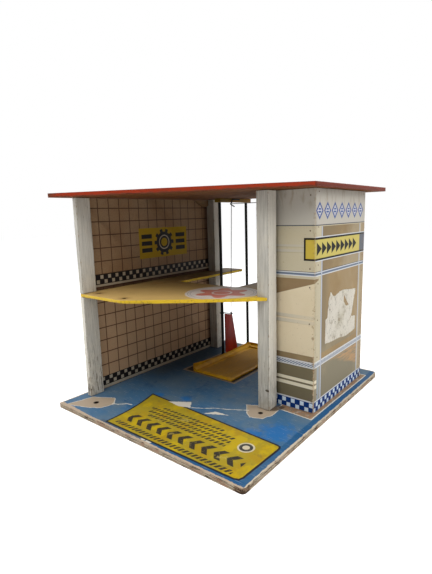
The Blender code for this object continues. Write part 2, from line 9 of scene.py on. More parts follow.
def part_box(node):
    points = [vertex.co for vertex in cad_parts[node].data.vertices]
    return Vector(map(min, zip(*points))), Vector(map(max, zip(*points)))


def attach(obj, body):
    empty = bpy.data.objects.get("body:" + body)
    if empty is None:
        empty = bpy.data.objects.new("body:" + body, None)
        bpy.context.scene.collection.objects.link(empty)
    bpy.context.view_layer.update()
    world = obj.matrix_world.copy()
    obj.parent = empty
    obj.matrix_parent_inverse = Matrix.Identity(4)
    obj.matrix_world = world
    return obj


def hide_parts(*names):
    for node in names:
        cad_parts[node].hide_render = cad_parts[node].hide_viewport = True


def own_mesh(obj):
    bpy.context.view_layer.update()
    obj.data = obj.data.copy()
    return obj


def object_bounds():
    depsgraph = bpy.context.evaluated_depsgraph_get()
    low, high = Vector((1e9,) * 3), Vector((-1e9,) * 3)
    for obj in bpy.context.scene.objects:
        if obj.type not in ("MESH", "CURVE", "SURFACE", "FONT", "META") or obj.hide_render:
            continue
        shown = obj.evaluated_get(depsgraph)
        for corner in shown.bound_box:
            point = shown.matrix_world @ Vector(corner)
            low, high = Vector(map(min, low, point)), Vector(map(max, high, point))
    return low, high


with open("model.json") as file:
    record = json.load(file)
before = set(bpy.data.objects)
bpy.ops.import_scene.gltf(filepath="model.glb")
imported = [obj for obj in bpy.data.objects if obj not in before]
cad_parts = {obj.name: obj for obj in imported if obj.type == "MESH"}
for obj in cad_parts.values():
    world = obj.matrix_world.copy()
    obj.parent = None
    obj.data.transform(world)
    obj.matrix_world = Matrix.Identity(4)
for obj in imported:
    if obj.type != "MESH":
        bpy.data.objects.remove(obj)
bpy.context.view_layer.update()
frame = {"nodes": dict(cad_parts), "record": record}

# Prints are laid out in millimetres: x and y from the base board's front left corner, z from its top
boardWidth = 300.0
boardLow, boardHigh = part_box("base_board")
home = (boardWidth - boardHigh.x * 1000, -boardLow.y * 1000, -boardHigh.z * 1000)


def spot(x, y, z):
    return Vector(((x - home[0]) / 1000, (y - home[1]) / 1000, (z - home[2]) / 1000))


def boxOf(nodeName):
    # a node's lowest and highest corners, in the same millimetres
    return [tuple(part * 1000 + start for part, start in zip(corner, home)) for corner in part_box(nodeName)]


def tint(red, green, blue):
    # a colour as a paint tin or a screen gives it, 0 to 255
    parts = []
    for part in (red, green, blue):
        share = part / 255
        parts.append(share / 12.92 if share <= 0.04045 else ((share + 0.055) / 1.055) ** 2.4)
    return (*parts, 1.0)


def addObject(name, data):
    item = bpy.data.objects.new(name, data)
    bpy.context.scene.collection.objects.link(item)
    return item


def addMesh(name, mesh, material):
    data = bpy.data.meshes.new(name)
    mesh.to_mesh(data)
    mesh.free()
    data.materials.append(material)
    return addObject(name, data)


print("frame loaded, nodes:", len(frame["nodes"]))


# Camera, where the photographer stood
cameraPlace = {
    "location": (0.3536, -0.4563, 0.2477),
    "turn": 39.394,
    "tilt": 9.569,
    "roll": -1.562,
    "lens": 26.38,
    "filmHeight": 36.0,
}


def makeCamera():
    values = cameraPlace
    camera = bpy.data.cameras.new("camera")
    camera.sensor_fit = "VERTICAL"
    camera.sensor_height = values["filmHeight"]
    camera.lens = values["lens"]
    camera.clip_start = 0.01
    item = addObject("camera", camera)
    turn = Matrix.Rotation(math.radians(values["turn"]), 4, "Z")
    tilt = Matrix.Rotation(math.radians(90 - values["tilt"]), 4, "X")
    roll = Matrix.Rotation(math.radians(values["roll"]), 4, "Z")
    item.matrix_world = Matrix.Translation(values["location"]) @ turn @ tilt @ roll
    bpy.context.scene.camera = item


makeCamera()


class NodeTree:
    # Shader nodes in a material's tree, a group's or the world's

    def __init__(self, tree):
        self.tree = tree

    def feed(self, socket, value):
        # value is another node's output, or fixed
        if isinstance(value, bpy.types.NodeSocket):
            self.tree.links.new(value, socket)
        else:
            socket.default_value = value

    def addNode(self, kind, inputs=(), **settings):
        made = self.tree.nodes.new("ShaderNode" + kind)
        for key, value in settings.items():
            setattr(made, key, value)
        pairs = inputs.items() if isinstance(inputs, dict) else enumerate(inputs)
        for key, value in pairs:
            self.feed(made.inputs[key], value)
        return made

    def calc(self, operation, *values, clamp=False):
        return self.addNode("Math", values, operation=operation, use_clamp=clamp).outputs[0]

    def vectorCalc(self, operation, *values):
        made = self.addNode("VectorMath", values, operation=operation)
        return made.outputs["Value" if operation in ("LENGTH", "DOT_PRODUCT") else "Vector"]

    def scaled(self, vector, size):
        return self.addNode("VectorMath", {0: vector, "Scale": size}, operation="SCALE").outputs[0]

    def ramp(self, value, low, high, start=0.0, end=1.0):
        inputs = {"Value": value, "From Min": low, "From Max": high, "To Min": start, "To Max": end}
        return self.addNode("MapRange", inputs, interpolation_type="SMOOTHSTEP").outputs[0]

    def fade(self, value, low, high):
        # 1 up to low, 0 from high on
        return self.ramp(value, low, high, 1.0, 0.0)

    def cloudAt(self, place, scale, detail=3.0, roughness=0.55):
        inputs = {"Vector": place, "Scale": scale, "Detail": detail, "Roughness": roughness}
        return self.addNode("TexNoise", inputs).outputs[0]


class EffectGroup(NodeTree):
    def __init__(self, name, inputs, outputs):
        super().__init__(bpy.data.node_groups.new(name, "ShaderNodeTree"))
        for label, value in inputs.items():
            kind = "NodeSocketVector" if isinstance(value, tuple) else "NodeSocketFloat"
            socket = self.tree.interface.new_socket(label, in_out="INPUT", socket_type=kind)
            socket.default_value = value
        for label in outputs:
            self.tree.interface.new_socket(label, in_out="OUTPUT", socket_type="NodeSocketFloat")
        self.entry = self.tree.nodes.new("NodeGroupInput").outputs
        self.exit = self.tree.nodes.new("NodeGroupOutput").inputs

    def give(self, label, value):
        self.feed(self.exit[label], value)


# Each effect is a group that puts out masks or heights
def makeBand():
    # 1 between Low and High, with soft ends
    group = EffectGroup("band", {"Value": 0.0, "Low": 0.0, "High": 1.0, "Soft": 0.2}, ["Mask"])
    entry = group.entry
    sides = []
    for label in ("Low", "High"):
        below = group.calc("SUBTRACT", entry[label], entry["Soft"])
        above = group.calc("ADD", entry[label], entry["Soft"])
        sides.append(group.ramp(entry["Value"], below, above))
    group.give("Mask", group.calc("SUBTRACT", sides[0], sides[1], clamp=True))
    return group


def makeSegment():
    # distance from a straight stroke
    points = {"Place": (0.0, 0.0, 0.0), "Start": (0.0, 0.0, 0.0), "End": (1.0, 0.0, 0.0)}
    group = EffectGroup("stroke", points, ["Distance"])
    entry = group.entry
    away = group.vectorCalc("SUBTRACT", entry["Place"], entry["Start"])
    along = group.vectorCalc("SUBTRACT", entry["End"], entry["Start"])
    reach = group.vectorCalc("DOT_PRODUCT", away, along)
    whole = group.vectorCalc("DOT_PRODUCT", along, along)
    share = group.calc("DIVIDE", reach, whole, clamp=True)
    nearest = group.scaled(along, share)
    rest = group.vectorCalc("SUBTRACT", away, nearest)
    group.give("Distance", group.vectorCalc("LENGTH", rest))
    return group


def makeTiles():
    # the thin joints of a tiled wall
    names = {"U": 0.0, "V": 0.0, "Pitch U": 18.0, "Pitch V": 18.0, "Width": 0.7}
    group = EffectGroup("tile_joints", names, ["Mask"])
    entry = group.entry
    lines = []
    for label in ("U", "V"):
        half = group.calc("MULTIPLY", entry["Pitch " + label], 0.5)
        away = group.calc("PINGPONG", entry[label], half)
        inner = group.calc("MULTIPLY", entry["Width"], 0.35)
        outer = group.calc("MULTIPLY", entry["Width"], 0.75)
        lines.append(group.fade(away, inner, outer))
    group.give("Mask", group.calc("MAXIMUM", *lines))
    return group


def makeChecks():
    # the light squares of a check band, each a little smaller than the dark ones
    names = {"U": 0.0, "V": 0.0, "Pitch U": 6.0, "Pitch V": 6.0, "Inset": 0.1}
    group = EffectGroup("checks", names, ["Mask"])
    entry = group.entry
    steps = []
    squares = []
    for label in ("U", "V"):
        share = group.calc("DIVIDE", entry[label], entry["Pitch " + label])
        steps.append(group.calc("FLOOR", share))
        away = group.calc("ABSOLUTE", group.calc("SUBTRACT", group.calc("FRACT", share), 0.5))
        inside = group.calc("SUBTRACT", group.calc("SUBTRACT", 0.5, entry["Inset"]), away)
        squares.append(group.ramp(inside, -0.03, 0.03))
    odd = group.calc("FRACT", group.calc("MULTIPLY", group.calc("ADD", *steps), 0.5))
    light = group.calc("LESS_THAN", odd, 0.25)
    group.give("Mask", group.calc("MULTIPLY", group.calc("MULTIPLY", *squares), light))
    return group


def makeGrain():
    # streaks along the stretch, dark flecks in them, and fine cracks
    names = {"Place": (0.0, 0.0, 0.0), "Stretch": (1.0, 1.0, 0.05), "Size": 1.0}
    group = EffectGroup("grain", names, ["Streaks", "Flecks", "Cracks"])
    entry = group.entry
    drawn = group.vectorCalc("MULTIPLY", entry["Place"], entry["Stretch"])
    place = group.scaled(drawn, entry["Size"])
    streaks = group.cloudAt(place, 0.6, 5.0, 0.62)
    group.give("Streaks", group.ramp(streaks, 0.34, 0.68))
    flecks = group.cloudAt(place, 1.9, 2.0, 0.5)
    group.give("Flecks", group.ramp(flecks, 0.63, 0.70))
    wander = group.cloudAt(place, 0.27, 2.0, 0.5)
    line = group.calc("ABSOLUTE", group.calc("SUBTRACT", wander, 0.5))
    group.give("Cracks", group.fade(line, 0.002, 0.009))
    return group


def makeGrime():
    # broad soft blotches, and small specks
    names = {"Place": (0.0, 0.0, 0.0), "Size": 0.02, "Cover": 0.5}
    group = EffectGroup("grime", names, ["Blotches", "Specks"])
    entry = group.entry
    broad = group.cloudAt(entry["Place"], entry["Size"], 4.0, 0.6)
    edge = group.calc("SUBTRACT", 1.0, entry["Cover"])
    low = group.calc("SUBTRACT", edge, 0.14)
    high = group.calc("ADD", edge, 0.14)
    group.give("Blotches", group.ramp(broad, low, high))
    fine = group.cloudAt(entry["Place"], 0.55, 2.0, 0.5)
    group.give("Specks", group.ramp(fine, 0.69, 0.74))
    return group


def makeArrisWear():
    # bare wood along the arrises of a box, wider in some places than in others
    corners = {"Place": (0.0, 0.0, 0.0), "Low": (0.0, 0.0, 0.0), "High": (1.0, 1.0, 1.0), "Reach": 2.0}
    group = EffectGroup("arris_wear", corners, ["Mask"])
    entry = group.entry
    above = group.vectorCalc("SUBTRACT", entry["Place"], entry["Low"])
    below = group.vectorCalc("SUBTRACT", entry["High"], entry["Place"])
    x, y, z = group.addNode("SeparateXYZ", [group.vectorCalc("MINIMUM", above, below)]).outputs
    least = group.calc("MINIMUM", x, y)
    most = group.calc("MAXIMUM", x, y)
    middle = group.calc("MAXIMUM", least, group.calc("MINIMUM", most, z))
    ragged = group.ramp(group.cloudAt(entry["Place"], 0.16, 5.0, 0.7), 0.42, 0.78)
    reach = group.calc("MULTIPLY", ragged, entry["Reach"])
    gap = group.calc("SUBTRACT", reach, middle)
    group.give("Mask", group.ramp(gap, -0.12, 0.25))
    return group


def makeFibre():
    # hardboard: short crossed fibres over a mottled ground
    names = {"Place": (0.0, 0.0, 0.0), "Size": 1.0}
    group = EffectGroup("hardboard_fibre", names, ["Mottle", "Fibres"])
    entry = group.entry
    place = group.scaled(entry["Place"], entry["Size"])
    mottle = group.cloudAt(place, 0.09, 5.0, 0.65)
    group.give("Mottle", group.ramp(mottle, 0.35, 0.68))
    crossed = []
    for stretch in ((0.35, 2.2, 1.0), (2.2, 0.35, 0.6)):
        drawn = group.vectorCalc("MULTIPLY", place, stretch)
        crossed.append(group.cloudAt(drawn, 0.8, 2.0, 0.5))
    fibres = group.calc("MAXIMUM", *crossed)
    group.give("Fibres", group.ramp(fibres, 0.5, 0.72))
    return group


groups = {
    "band": makeBand(),
    "stroke": makeSegment(),
    "tiles": makeTiles(),
    "checks": makeChecks(),
    "grain": makeGrain(),
    "grime": makeGrime(),
    "arrisWear": makeArrisWear(),
    "fibre": makeFibre(),
}
print("shader groups made:", len(groups))


class Finish(NodeTree):
    # A material under work: its place in millimetres, the way that its surface faces, and its paint so far.
    # Its values are the dictionary of its piece, with the colours and the clouds that it names

    def __init__(self, name, values, ground, roughness=0.6):
        self.values = values
        self.material = bpy.data.materials.new(name)
        self.material.use_nodes = True
        super().__init__(self.material.node_tree)
        coordinates = self.addNode("TexCoord")
        mapping = {"Vector": coordinates.outputs["Object"], "Location": home, "Scale": (1000, 1000, 1000)}
        self.place = self.addNode("Mapping", mapping).outputs[0]
        self.x, self.y, self.z = self.addNode("SeparateXYZ", [self.place]).outputs
        self.faces = self.addNode("SeparateXYZ", [coordinates.outputs["Normal"]]).outputs
        self.paint = tint(*values[ground])
        self.roughness = roughness
        self.heights = []

    def use(self, name, **inputs):
        made = self.tree.nodes.new("ShaderNodeGroup")
        made.node_tree = groups[name].tree
        if "Place" in made.inputs:
            inputs.setdefault("Place", self.place)
        for label, value in inputs.items():
            self.feed(made.inputs[label.replace("_", " ")], value)
        return made.outputs

    def facing(self, axis, way=1):
        # 1 where the surface looks along the axis, 0 elsewhere
        return self.ramp(self.calc("MULTIPLY", self.faces[axis], way), 0.6, 0.8)

    def band(self, value, low, high, soft=0.15):
        return self.use("band", Value=value, Low=low, High=high, Soft=soft)["Mask"]

    def join(self, operation, parts):
        whole = parts[0]
        for part in parts[1:]:
            whole = self.calc(operation, whole, part)
        return whole

    def both(self, *masks):
        return self.join("MULTIPLY", masks)

    def either(self, *masks):
        return self.join("MAXIMUM", masks)

    def without(self, mask):
        return self.calc("SUBTRACT", 1.0, mask)

    def patch(self, u, v, bounds, soft=0.15):
        lowU, highU, lowV, highV = bounds
        return self.both(self.band(u, lowU, highU, soft), self.band(v, lowV, highV, soft))

    def depthInside(self, u, v, corners):
        # how far a place lies inside a convex outline, below 0 outside it
        area = sum(a[0] * b[1] - a[1] * b[0] for a, b in zip(corners, [*corners[1:], corners[0]]))
        loop = corners if area > 0 else corners[::-1]
        depths = []
        for (ax, ay), (bx, by) in zip(loop, [*loop[1:], loop[0]]):
            length = math.hypot(bx - ax, by - ay)
            inU, inV = (ay - by) / length, (bx - ax) / length
            part = self.calc("MULTIPLY_ADD", v, inV, -(ax * inU + ay * inV))
            depths.append(self.calc("MULTIPLY_ADD", u, inU, part))
        return self.join("MINIMUM", depths)

    def strokes(self, u, v, points, width, wander, scale):
        place = self.addNode("CombineXYZ", [u, v]).outputs[0]
        parts = []
        for first, second in zip(points, points[1:]):
            ends = {"Start": (*first, 0.0), "End": (*second, 0.0)}
            parts.append(self.use("stroke", Place=place, **ends)["Distance"])
        nearest = self.wavy(self.join("MINIMUM", parts), wander, scale)
        return self.fade(nearest, width / 2 - 0.2, width / 2 + 0.2)

    def cloud(self, scale, detail=3.0, roughness=0.55, stretch=None):
        place = self.vectorCalc("MULTIPLY", self.place, stretch) if stretch else self.place
        return self.cloudAt(place, scale, detail, roughness)

    def cloudy(self, name):
        # one of the values' clouds: from, to and scale, then detail, roughness and stretch if need be
        low, high, *settings = self.values["clouds"][name]
        return self.ramp(self.cloud(*settings), low, high)

    def wander(self, amount, scale=0.2):
        # a wavering distance, from about -amount to amount
        return self.calc("MULTIPLY_ADD", self.cloud(scale, 4.0, 0.65), amount * 4, -amount * 2)

    def wavy(self, value, amount, scale=0.2):
        return self.calc("ADD", value, self.wander(amount, scale))

    def circle(self, u, v, centreU, centreV):
        # distance from a centre, and the angle round it
        du = self.calc("SUBTRACT", u, centreU)
        dv = self.calc("SUBTRACT", v, centreV)
        squares = self.calc("MULTIPLY_ADD", du, du, self.calc("MULTIPLY", dv, dv))
        return self.calc("SQRT", squares), self.calc("ARCTAN2", dv, du)

    def disc(self, u, v, centre, inner, outer, waver=0.0, scale=0.2):
        # 1 inside a circle, 0 outside it
        away = self.circle(u, v, *centre)[0]
        if waver:
            away = self.wavy(away, waver, scale)
        return self.fade(away, inner, outer)

    def wornArrises(self, nodeName, reach):
        low, high = boxOf(nodeName)
        return self.use("arrisWear", Low=low, High=high, Reach=reach)["Mask"]

    def lay(self, mask, colour, strength=1.0):
        # lays one of the values' colours over the paint so far
        share = self.calc("MULTIPLY", mask, strength) if strength != 1.0 else mask
        inputs = {0: share, 6: self.paint, 7: tint(*self.values[colour])}
        self.paint = self.addNode("Mix", inputs, data_type="RGBA").outputs[2]

    def rub(self, mask, roughness):
        # gives the masked place another roughness
        change = self.calc("SUBTRACT", roughness, self.roughness)
        self.roughness = self.calc("MULTIPLY_ADD", mask, change, self.roughness)

    def emboss(self, mask, amount):
        self.heights.append(self.calc("MULTIPLY", mask, amount))

    def bareBoard(self, mask, ground, mottle, strength, size=1.0):
        # hardboard without print or paint; gives back its fibres
        fibre = self.use("fibre", Size=size)
        self.lay(mask, ground)
        self.lay(self.both(mask, fibre["Mottle"]), mottle, strength)
        self.rub(mask, 0.85)
        return self.both(mask, fibre["Fibres"])

    def done(self, depth=0.0002, coat=0.0, coatRoughness=0.3, metallic=0.0, specular=0.4):
        shader = self.tree.nodes["Principled BSDF"].inputs
        self.feed(shader["Base Color"], self.paint)
        self.feed(shader["Roughness"], self.roughness)
        if self.heights:
            height = self.join("ADD", self.heights)
            bump = self.addNode("Bump", {"Height": height, "Strength": 1.0, "Distance": depth})
            self.feed(shader["Normal"], bump.outputs[0])
        shader["Metallic"].default_value = metallic
        shader["Specular IOR Level"].default_value = specular
        shader["Coat Weight"].default_value = coat
        shader["Coat Roughness"].default_value = coatRoughness
        return self.material


# Worn white paint on the posts
postPaint = {
    "paint": (200, 197, 188),
    "cream": (214, 208, 193),
    "streak": (150, 145, 134),
    "grime": (128, 117, 98),
    "crack": (78, 66, 52),
    "wood": (160, 138, 110),
    "bright": (236, 230, 216),
    "shadow": (66, 46, 30),
    # Each post's side and front entries are painted light and shade: a lighter right side or front face, and
    # a darker front on the back post
    "posts": {
        "front_post_lower": {"front": ("bright", 0.6), "cracked": 0.85},
        "front_post_upper": {"cracked": 0.3},
        "centre_post": {"side": ("bright", 0.45), "cracked": 0.25, "dent": (234.2, 26.0)},
        "back_post": {"side": ("bright", 0.2), "front": ("shadow", 0.35), "cracked": 0.4},
    },
    "clouds": {
        "crackedPlaces": (0.5, 0.6, 0.03),
        "chips": (0.57, 0.62, 0.42, 4.0, 0.7, (1.0, 1.0, 0.16)),
        "splits": (0.6, 0.63, 0.5, 3.0, 0.6, (1.0, 1.0, 0.07)),
        "footDirt": (0.4, 0.7, 0.12),
    },
}


def makePostPaint(nodeName):
    values = postPaint
    post = values["posts"][nodeName]
    paint = Finish(f"worn_white_paint_{nodeName}", values, "paint")
    front = paint.facing(1, -1)
    grain = paint.use("grain", Stretch=(1.0, 1.0, 0.04), Size=1.0)
    grime = paint.use("grime", Size=0.03, Cover=0.45)
    paint.lay(grime["Blotches"], "cream", 0.7)
    paint.lay(grain["Streaks"], "streak", 0.42)
    # painted light: a lighter right side face, for the posts that name one
    if "side" in post:
        paint.lay(paint.facing(0), *post["side"])
    paint.lay(paint.both(front, grain["Streaks"]), "streak", 0.3)
    # painted light on the lower front post's front face, painted shade on the back post's front face
    if "front" in post:
        paint.lay(front, *post["front"])
    foot = paint.fade(paint.z, 0.0, 70.0)
    lowFlecks = paint.both(grain["Flecks"], paint.calc("MULTIPLY_ADD", foot, 0.6, 0.25))
    paint.lay(lowFlecks, "crack")
    paint.lay(paint.both(grain["Cracks"], paint.cloudy("crackedPlaces")), "crack", 0.75)
    chips = paint.cloudy("chips")
    chips = paint.both(chips, paint.fade(paint.z, 8.0, 90.0))
    paint.lay(chips, "crack", post["cracked"])
    splits = paint.cloudy("splits")
    splits = paint.both(splits, paint.fade(paint.z, 20.0, 130.0))
    paint.lay(splits, "crack", post["cracked"])
    paint.lay(paint.both(foot, paint.cloudy("footDirt")), "grime", 0.35)
    paint.lay(grime["Specks"], "grime", 0.5)
    wear = paint.wornArrises(nodeName, 1.5)
    paint.lay(wear, "wood", 0.8)
    fromArris = paint.calc("SUBTRACT", boxOf(nodeName)[1][0], paint.wavy(paint.x, 0.35, 0.3))
    paint.lay(paint.both(front, paint.band(fromArris, 0.5, 1.0, 0.3)), "grime", 0.75)
    if "dent" in post:
        across, up = post["dent"]
        spread = paint.calc("MULTIPLY", paint.calc("SUBTRACT", paint.z, up), 1.6)
        dent = paint.disc(paint.x, spread, (across, 0.0), 2.2, 3.0, 0.5, 0.3)
        paint.lay(dent, "crack", 0.9)
        paint.emboss(dent, -3.0)
    paint.lay(paint.either(paint.facing(2), paint.facing(2, -1)), "wood", 0.8)
    paint.rub(wear, 0.85)
    paint.emboss(grain["Streaks"], -0.5)
    paint.emboss(grain["Cracks"], -0.8)
    paint.emboss(lowFlecks, -0.8)
    paint.emboss(chips, -1.0)
    paint.emboss(wear, -0.9)
    return paint.done(0.00012, specular=0.15)


# The left wall's print: tiles over two check bands, and a badge with a cogwheel
wallPrint = {
    "tile": (160, 133, 103),
    "tileWarm": (146, 114, 82),
    "tileLow": (226, 188, 152),
    "joint": (58, 32, 22),
    "black": (24, 21, 21),
    "white": (176, 166, 148),
    "board": (112, 80, 52),
    "boardLight": (150, 116, 80),
    "tileStart": 3.0,
    "tilePitch": 18.0,
    "lower": {"rows": 17.4, "checksLow": 5.4, "checksHigh": 18.2, "lineLow": 1.1, "pitch": 6.75},
    "upper": {"rows": 165.7, "checksLow": 152.1, "checksHigh": 165.2, "lineLow": 148.6, "pitch": 6.45},
    "rowPitch": 18.1,
    "storey": 142.0,
    "badge": {"centre": (197.0, 203.0), "half": (52.0, 23.0), "cog": 17.0, "teeth": 10},
    "badgeBars": (-14.0, -3.5, 7.0),
    "yellow": (172, 142, 22),
    "clouds": {
        "speckle": (0.42, 0.66, 0.7, 3.0, 0.7),
    },
}


def layBadge(paint, values):
    # a yellow panel with a cogwheel between two sets of bars
    centreY, centreZ = values["badge"]["centre"]
    halfY, halfZ = values["badge"]["half"]
    radius = values["badge"]["cog"]
    panel = (centreY - halfY, centreY + halfY, centreZ - halfZ, centreZ + halfZ)
    paint.lay(paint.patch(paint.y, paint.z, panel), "yellow")
    away, angle = paint.circle(paint.y, paint.z, centreY, centreZ)
    beside = paint.calc("ABSOLUTE", paint.calc("SUBTRACT", paint.y, centreY))
    for low in values["badgeBars"]:
        bar = (radius + 9, halfY - 5, centreZ + low, centreZ + low + 6.5)
        paint.lay(paint.patch(beside, paint.z, bar), "black")
    paint.lay(paint.band(away, -1.0, radius + 6.5), "yellow")
    waves = paint.calc("COSINE", paint.calc("MULTIPLY", angle, values["badge"]["teeth"]))
    teeth = paint.ramp(waves, -0.2, 0.2)
    rim = paint.calc("MULTIPLY_ADD", teeth, 4.5, radius - 0.5)
    cog = paint.both(paint.ramp(paint.calc("SUBTRACT", rim, away), -0.2, 0.2), paint.ramp(away, 6.3, 6.9))
    paint.lay(cog, "black")
    paint.lay(paint.band(away, 9.6, 11.4), "white")


def makeWallPrint():
    values = wallPrint
    paint = Finish("tiled_wall_print", values, "tile", 0.55)
    grime = paint.use("grime", Size=0.016, Cover=0.5)
    paint.lay(grime["Blotches"], "tileWarm", 0.6)
    paint.lay(paint.cloudy("speckle"), "joint", 0.22)
    upstairs = paint.calc("GREATER_THAN", paint.z, values["storey"])
    lowest = values["lower"]["rows"]
    rowStart = paint.calc("MULTIPLY_ADD", upstairs, values["upper"]["rows"] - lowest, lowest)
    v = paint.calc("SUBTRACT", paint.z, rowStart)
    u = paint.calc("SUBTRACT", paint.y, values["tileStart"])
    pitch = {"Pitch_U": values["tilePitch"], "Pitch_V": values["rowPitch"]}
    joints = paint.use("tiles", U=u, V=v, Width=1.3, **pitch)
    paint.lay(paint.without(upstairs), "tileLow", 0.4)
    paint.lay(joints["Mask"], "joint", 0.85)
    # painted shade: the wall darkens towards its back end, beside the back post
    paint.lay(paint.ramp(paint.y, 290.0, 303.0), "joint", 0.7)
    layBadge(paint, values)
    paint.lay(paint.band(paint.z, values["storey"], values["upper"]["lineLow"]), "joint", 0.8)
    for storey in ("lower", "upper"):
        band = values[storey]
        low, high = band["checksLow"], band["checksHigh"]
        paint.lay(paint.band(paint.z, band["lineLow"], high), "white")
        paint.lay(paint.band(paint.z, low - 0.4, high + 0.4), "black")
        v = paint.calc("SUBTRACT", paint.z, low)
        pitch = {"Pitch_U": band["pitch"], "Pitch_V": (high - low) / 2}
        checks = paint.use("checks", U=paint.y, V=v, Inset=0.11, **pitch)["Mask"]
        paint.lay(paint.both(paint.band(paint.z, low, high), checks), "white")
    fibres = paint.bareBoard(paint.without(paint.facing(0)), "board", "boardLight", 0.5)
    paint.lay(fibres, "boardLight", 0.6)
    paint.lay(paint.wornArrises("wall_panel", 1.4), "boardLight", 0.8)
    dust = paint.use("grime", Size=0.05, Cover=0.3)
    paint.lay(dust["Specks"], "boardLight", 0.35)
    paint.emboss(fibres, 0.7)
    paint.emboss(paint.cloud(0.8, 3.0), 0.25)
    return paint.done(0.00012, specular=0.12)


# The shop's print, which wraps round the tower's arris
towerPrint = {
    "beige": (188, 178, 152),
    "pale": (213, 198, 168),
    "plain": (184, 179, 168),
    "brown": (138, 115, 84),
    "dark": (112, 103, 80),
    "pane": (144, 119, 80),
    "paneShade": (128, 112, 84),
    "cream": (220, 211, 186),
    "white": (206, 208, 210),
    "upright": (180, 186, 196),
    "edgeStrip": (150, 129, 98),
    "gleam": (182, 142, 96),
    "blueGrey": (104, 115, 134),
    "line": (66, 71, 84),
    "black": (20, 18, 20),
    "yellow": (192, 168, 66),
    "yellowPale": (196, 186, 112),
    "lowEdge": (150, 139, 114),
    "lowBlue": (146, 158, 166),
    "olive": (126, 118, 96),
    "signEnd": (96, 99, 106),
    "friezeBlue": (58, 80, 142),
    "checkBlue": (6, 50, 116),
    "checkWhite": (208, 222, 234),
    "board": (168, 140, 104),
    "boardLight": (192, 170, 138),
    "yellowed": (190, 170, 128),
    "specks": (120, 96, 70),
    "frames": ((16.1, 19.7), (134.1, 137.1)),
    "panes": {
        "all": (15.0, 226.5),
        "lower": (15.0, 57.0),
        "middle": (72.0, 171.0),
        "upper": (172.0, 226.5),
    },
    "gleamArea": [(42.0, 58.0), (137.0, 58.0), (137.0, 26.0)],
    "wedge": [(-64.0, 141.8), (10.0, 164.0), (10.0, 166.0), (-64.0, 165.4)],
    "lowStripes": ((30.6, 35.0), (37.4, 41.4)),
    "fadingStripes": ((197.0, 200.1), (203.3, 205.9), (111.2, 115.1), (117.6, 121.4)),
    "linesAround": [
        (173.7, 174.4, "line"), (172.5, 173.7, "white"), (170.0, 172.5, "blueGrey"),
        (168.8, 170.0, "white"), (63.2, 64.6, "white"), (58.4, 63.0, "white"), (57.0, 58.2, "white"),
        (13.0, 14.8, "white"), (227.5, 228.6, "line"),
    ],
    "frieze": {"height": 244.5, "halfPitch": 10.5, "halfWidth": 9.5, "halfHeight": 10.5, "reach": 147.0},
    "sign": (-14.3, 151.6, 187.3, 213.8),
    "signEdge": 2.3,
    "signHalo": 1.1,
    "signEndFrom": 135.2,
    "pennant": 13.4,
    "pennantStart": 3.5,
    "pennants": 9,
    "plinth": 12.8,
    "plinthPitch": 6.25,
    "clouds": {
        "soft": (0.35, 0.65, 0.022, 2.0, 0.5),
        "gleamStreaks": (0.3, 0.6, 0.12, 3.0, 0.6, (0.4, 0.4, 3.0)),
        "stains": (0.5, 0.66, 0.16, 3.0, 0.6, (1.0, 1.0, 0.25)),
        "bruises": (0.55, 0.6, 0.24, 4.0, 0.7),
        "spots": (0.58, 0.64, 0.45, 3.0, 0.6),
    },
}


def layTowerSign(paint, values, s):
    left, right, low, high = values["sign"]
    right += 9  # past the board's end, so that no soft end shows
    edge = values["signEdge"]
    halo = values["signHalo"]
    inner = (low + edge, high - edge)
    paint.lay(paint.patch(s, paint.z, (0.5, right, low - halo, high + halo)), "white")
    paint.lay(paint.patch(s, paint.z, (left, right, low, high)), "black")
    paint.lay(paint.patch(s, paint.z, (left + edge, right, *inner)), "yellow")
    paint.lay(paint.patch(s, paint.z, (0.0, right, *inner)), "yellowPale", 0.6)
    paint.lay(paint.patch(s, paint.z, (values["signEndFrom"], right, *inner)), "signEnd")
    # a row of pennants on the sign
    middle = (low + high) / 2
    turn = values["pennant"]
    first = values["pennantStart"]
    along = paint.calc("DIVIDE", paint.calc("SUBTRACT", s, first), turn)
    along = paint.calc("MULTIPLY", paint.calc("FRACT", along), turn)
    up = paint.calc("ABSOLUTE", paint.calc("SUBTRACT", paint.z, middle))
    slope = paint.calc("MULTIPLY_ADD", along, 0.62, up)
    pennants = paint.both(paint.fade(slope, 8.0, 8.5), paint.band(along, 0.8, turn))
    paint.lay(paint.both(pennants, paint.band(s, first, first + values["pennants"] * turn)), "black")


def layTowerFrieze(paint, values, s):
    # a row of hatched lozenges under the roof, on the side only
    frieze = values["frieze"]
    half = frieze["halfPitch"]
    along = paint.calc("SUBTRACT", paint.calc("PINGPONG", s, half), half)
    across = paint.calc("ABSOLUTE", paint.calc("MULTIPLY", along, 1 / frieze["halfWidth"]))
    fromMiddle = paint.calc("SUBTRACT", paint.z, frieze["height"])
    up = paint.calc("ABSOLUTE", paint.calc("MULTIPLY", fromMiddle, 1 / frieze["halfHeight"]))
    size = paint.calc("ADD", across, up)
    side = paint.band(s, 1.0, frieze["reach"])
    rim = paint.band(size, 0.66, 1.0, 0.03)
    hatch = paint.ramp(paint.calc("PINGPONG", paint.z, 1.7), 0.4, 0.8)
    core = paint.both(paint.band(size, -1.0, 0.5, 0.03), hatch)
    paint.lay(paint.both(paint.band(size, -1.0, 0.7, 0.03), side), "white", 0.8)
    paint.lay(paint.both(paint.either(rim, core), side), "friezeBlue", 0.95)


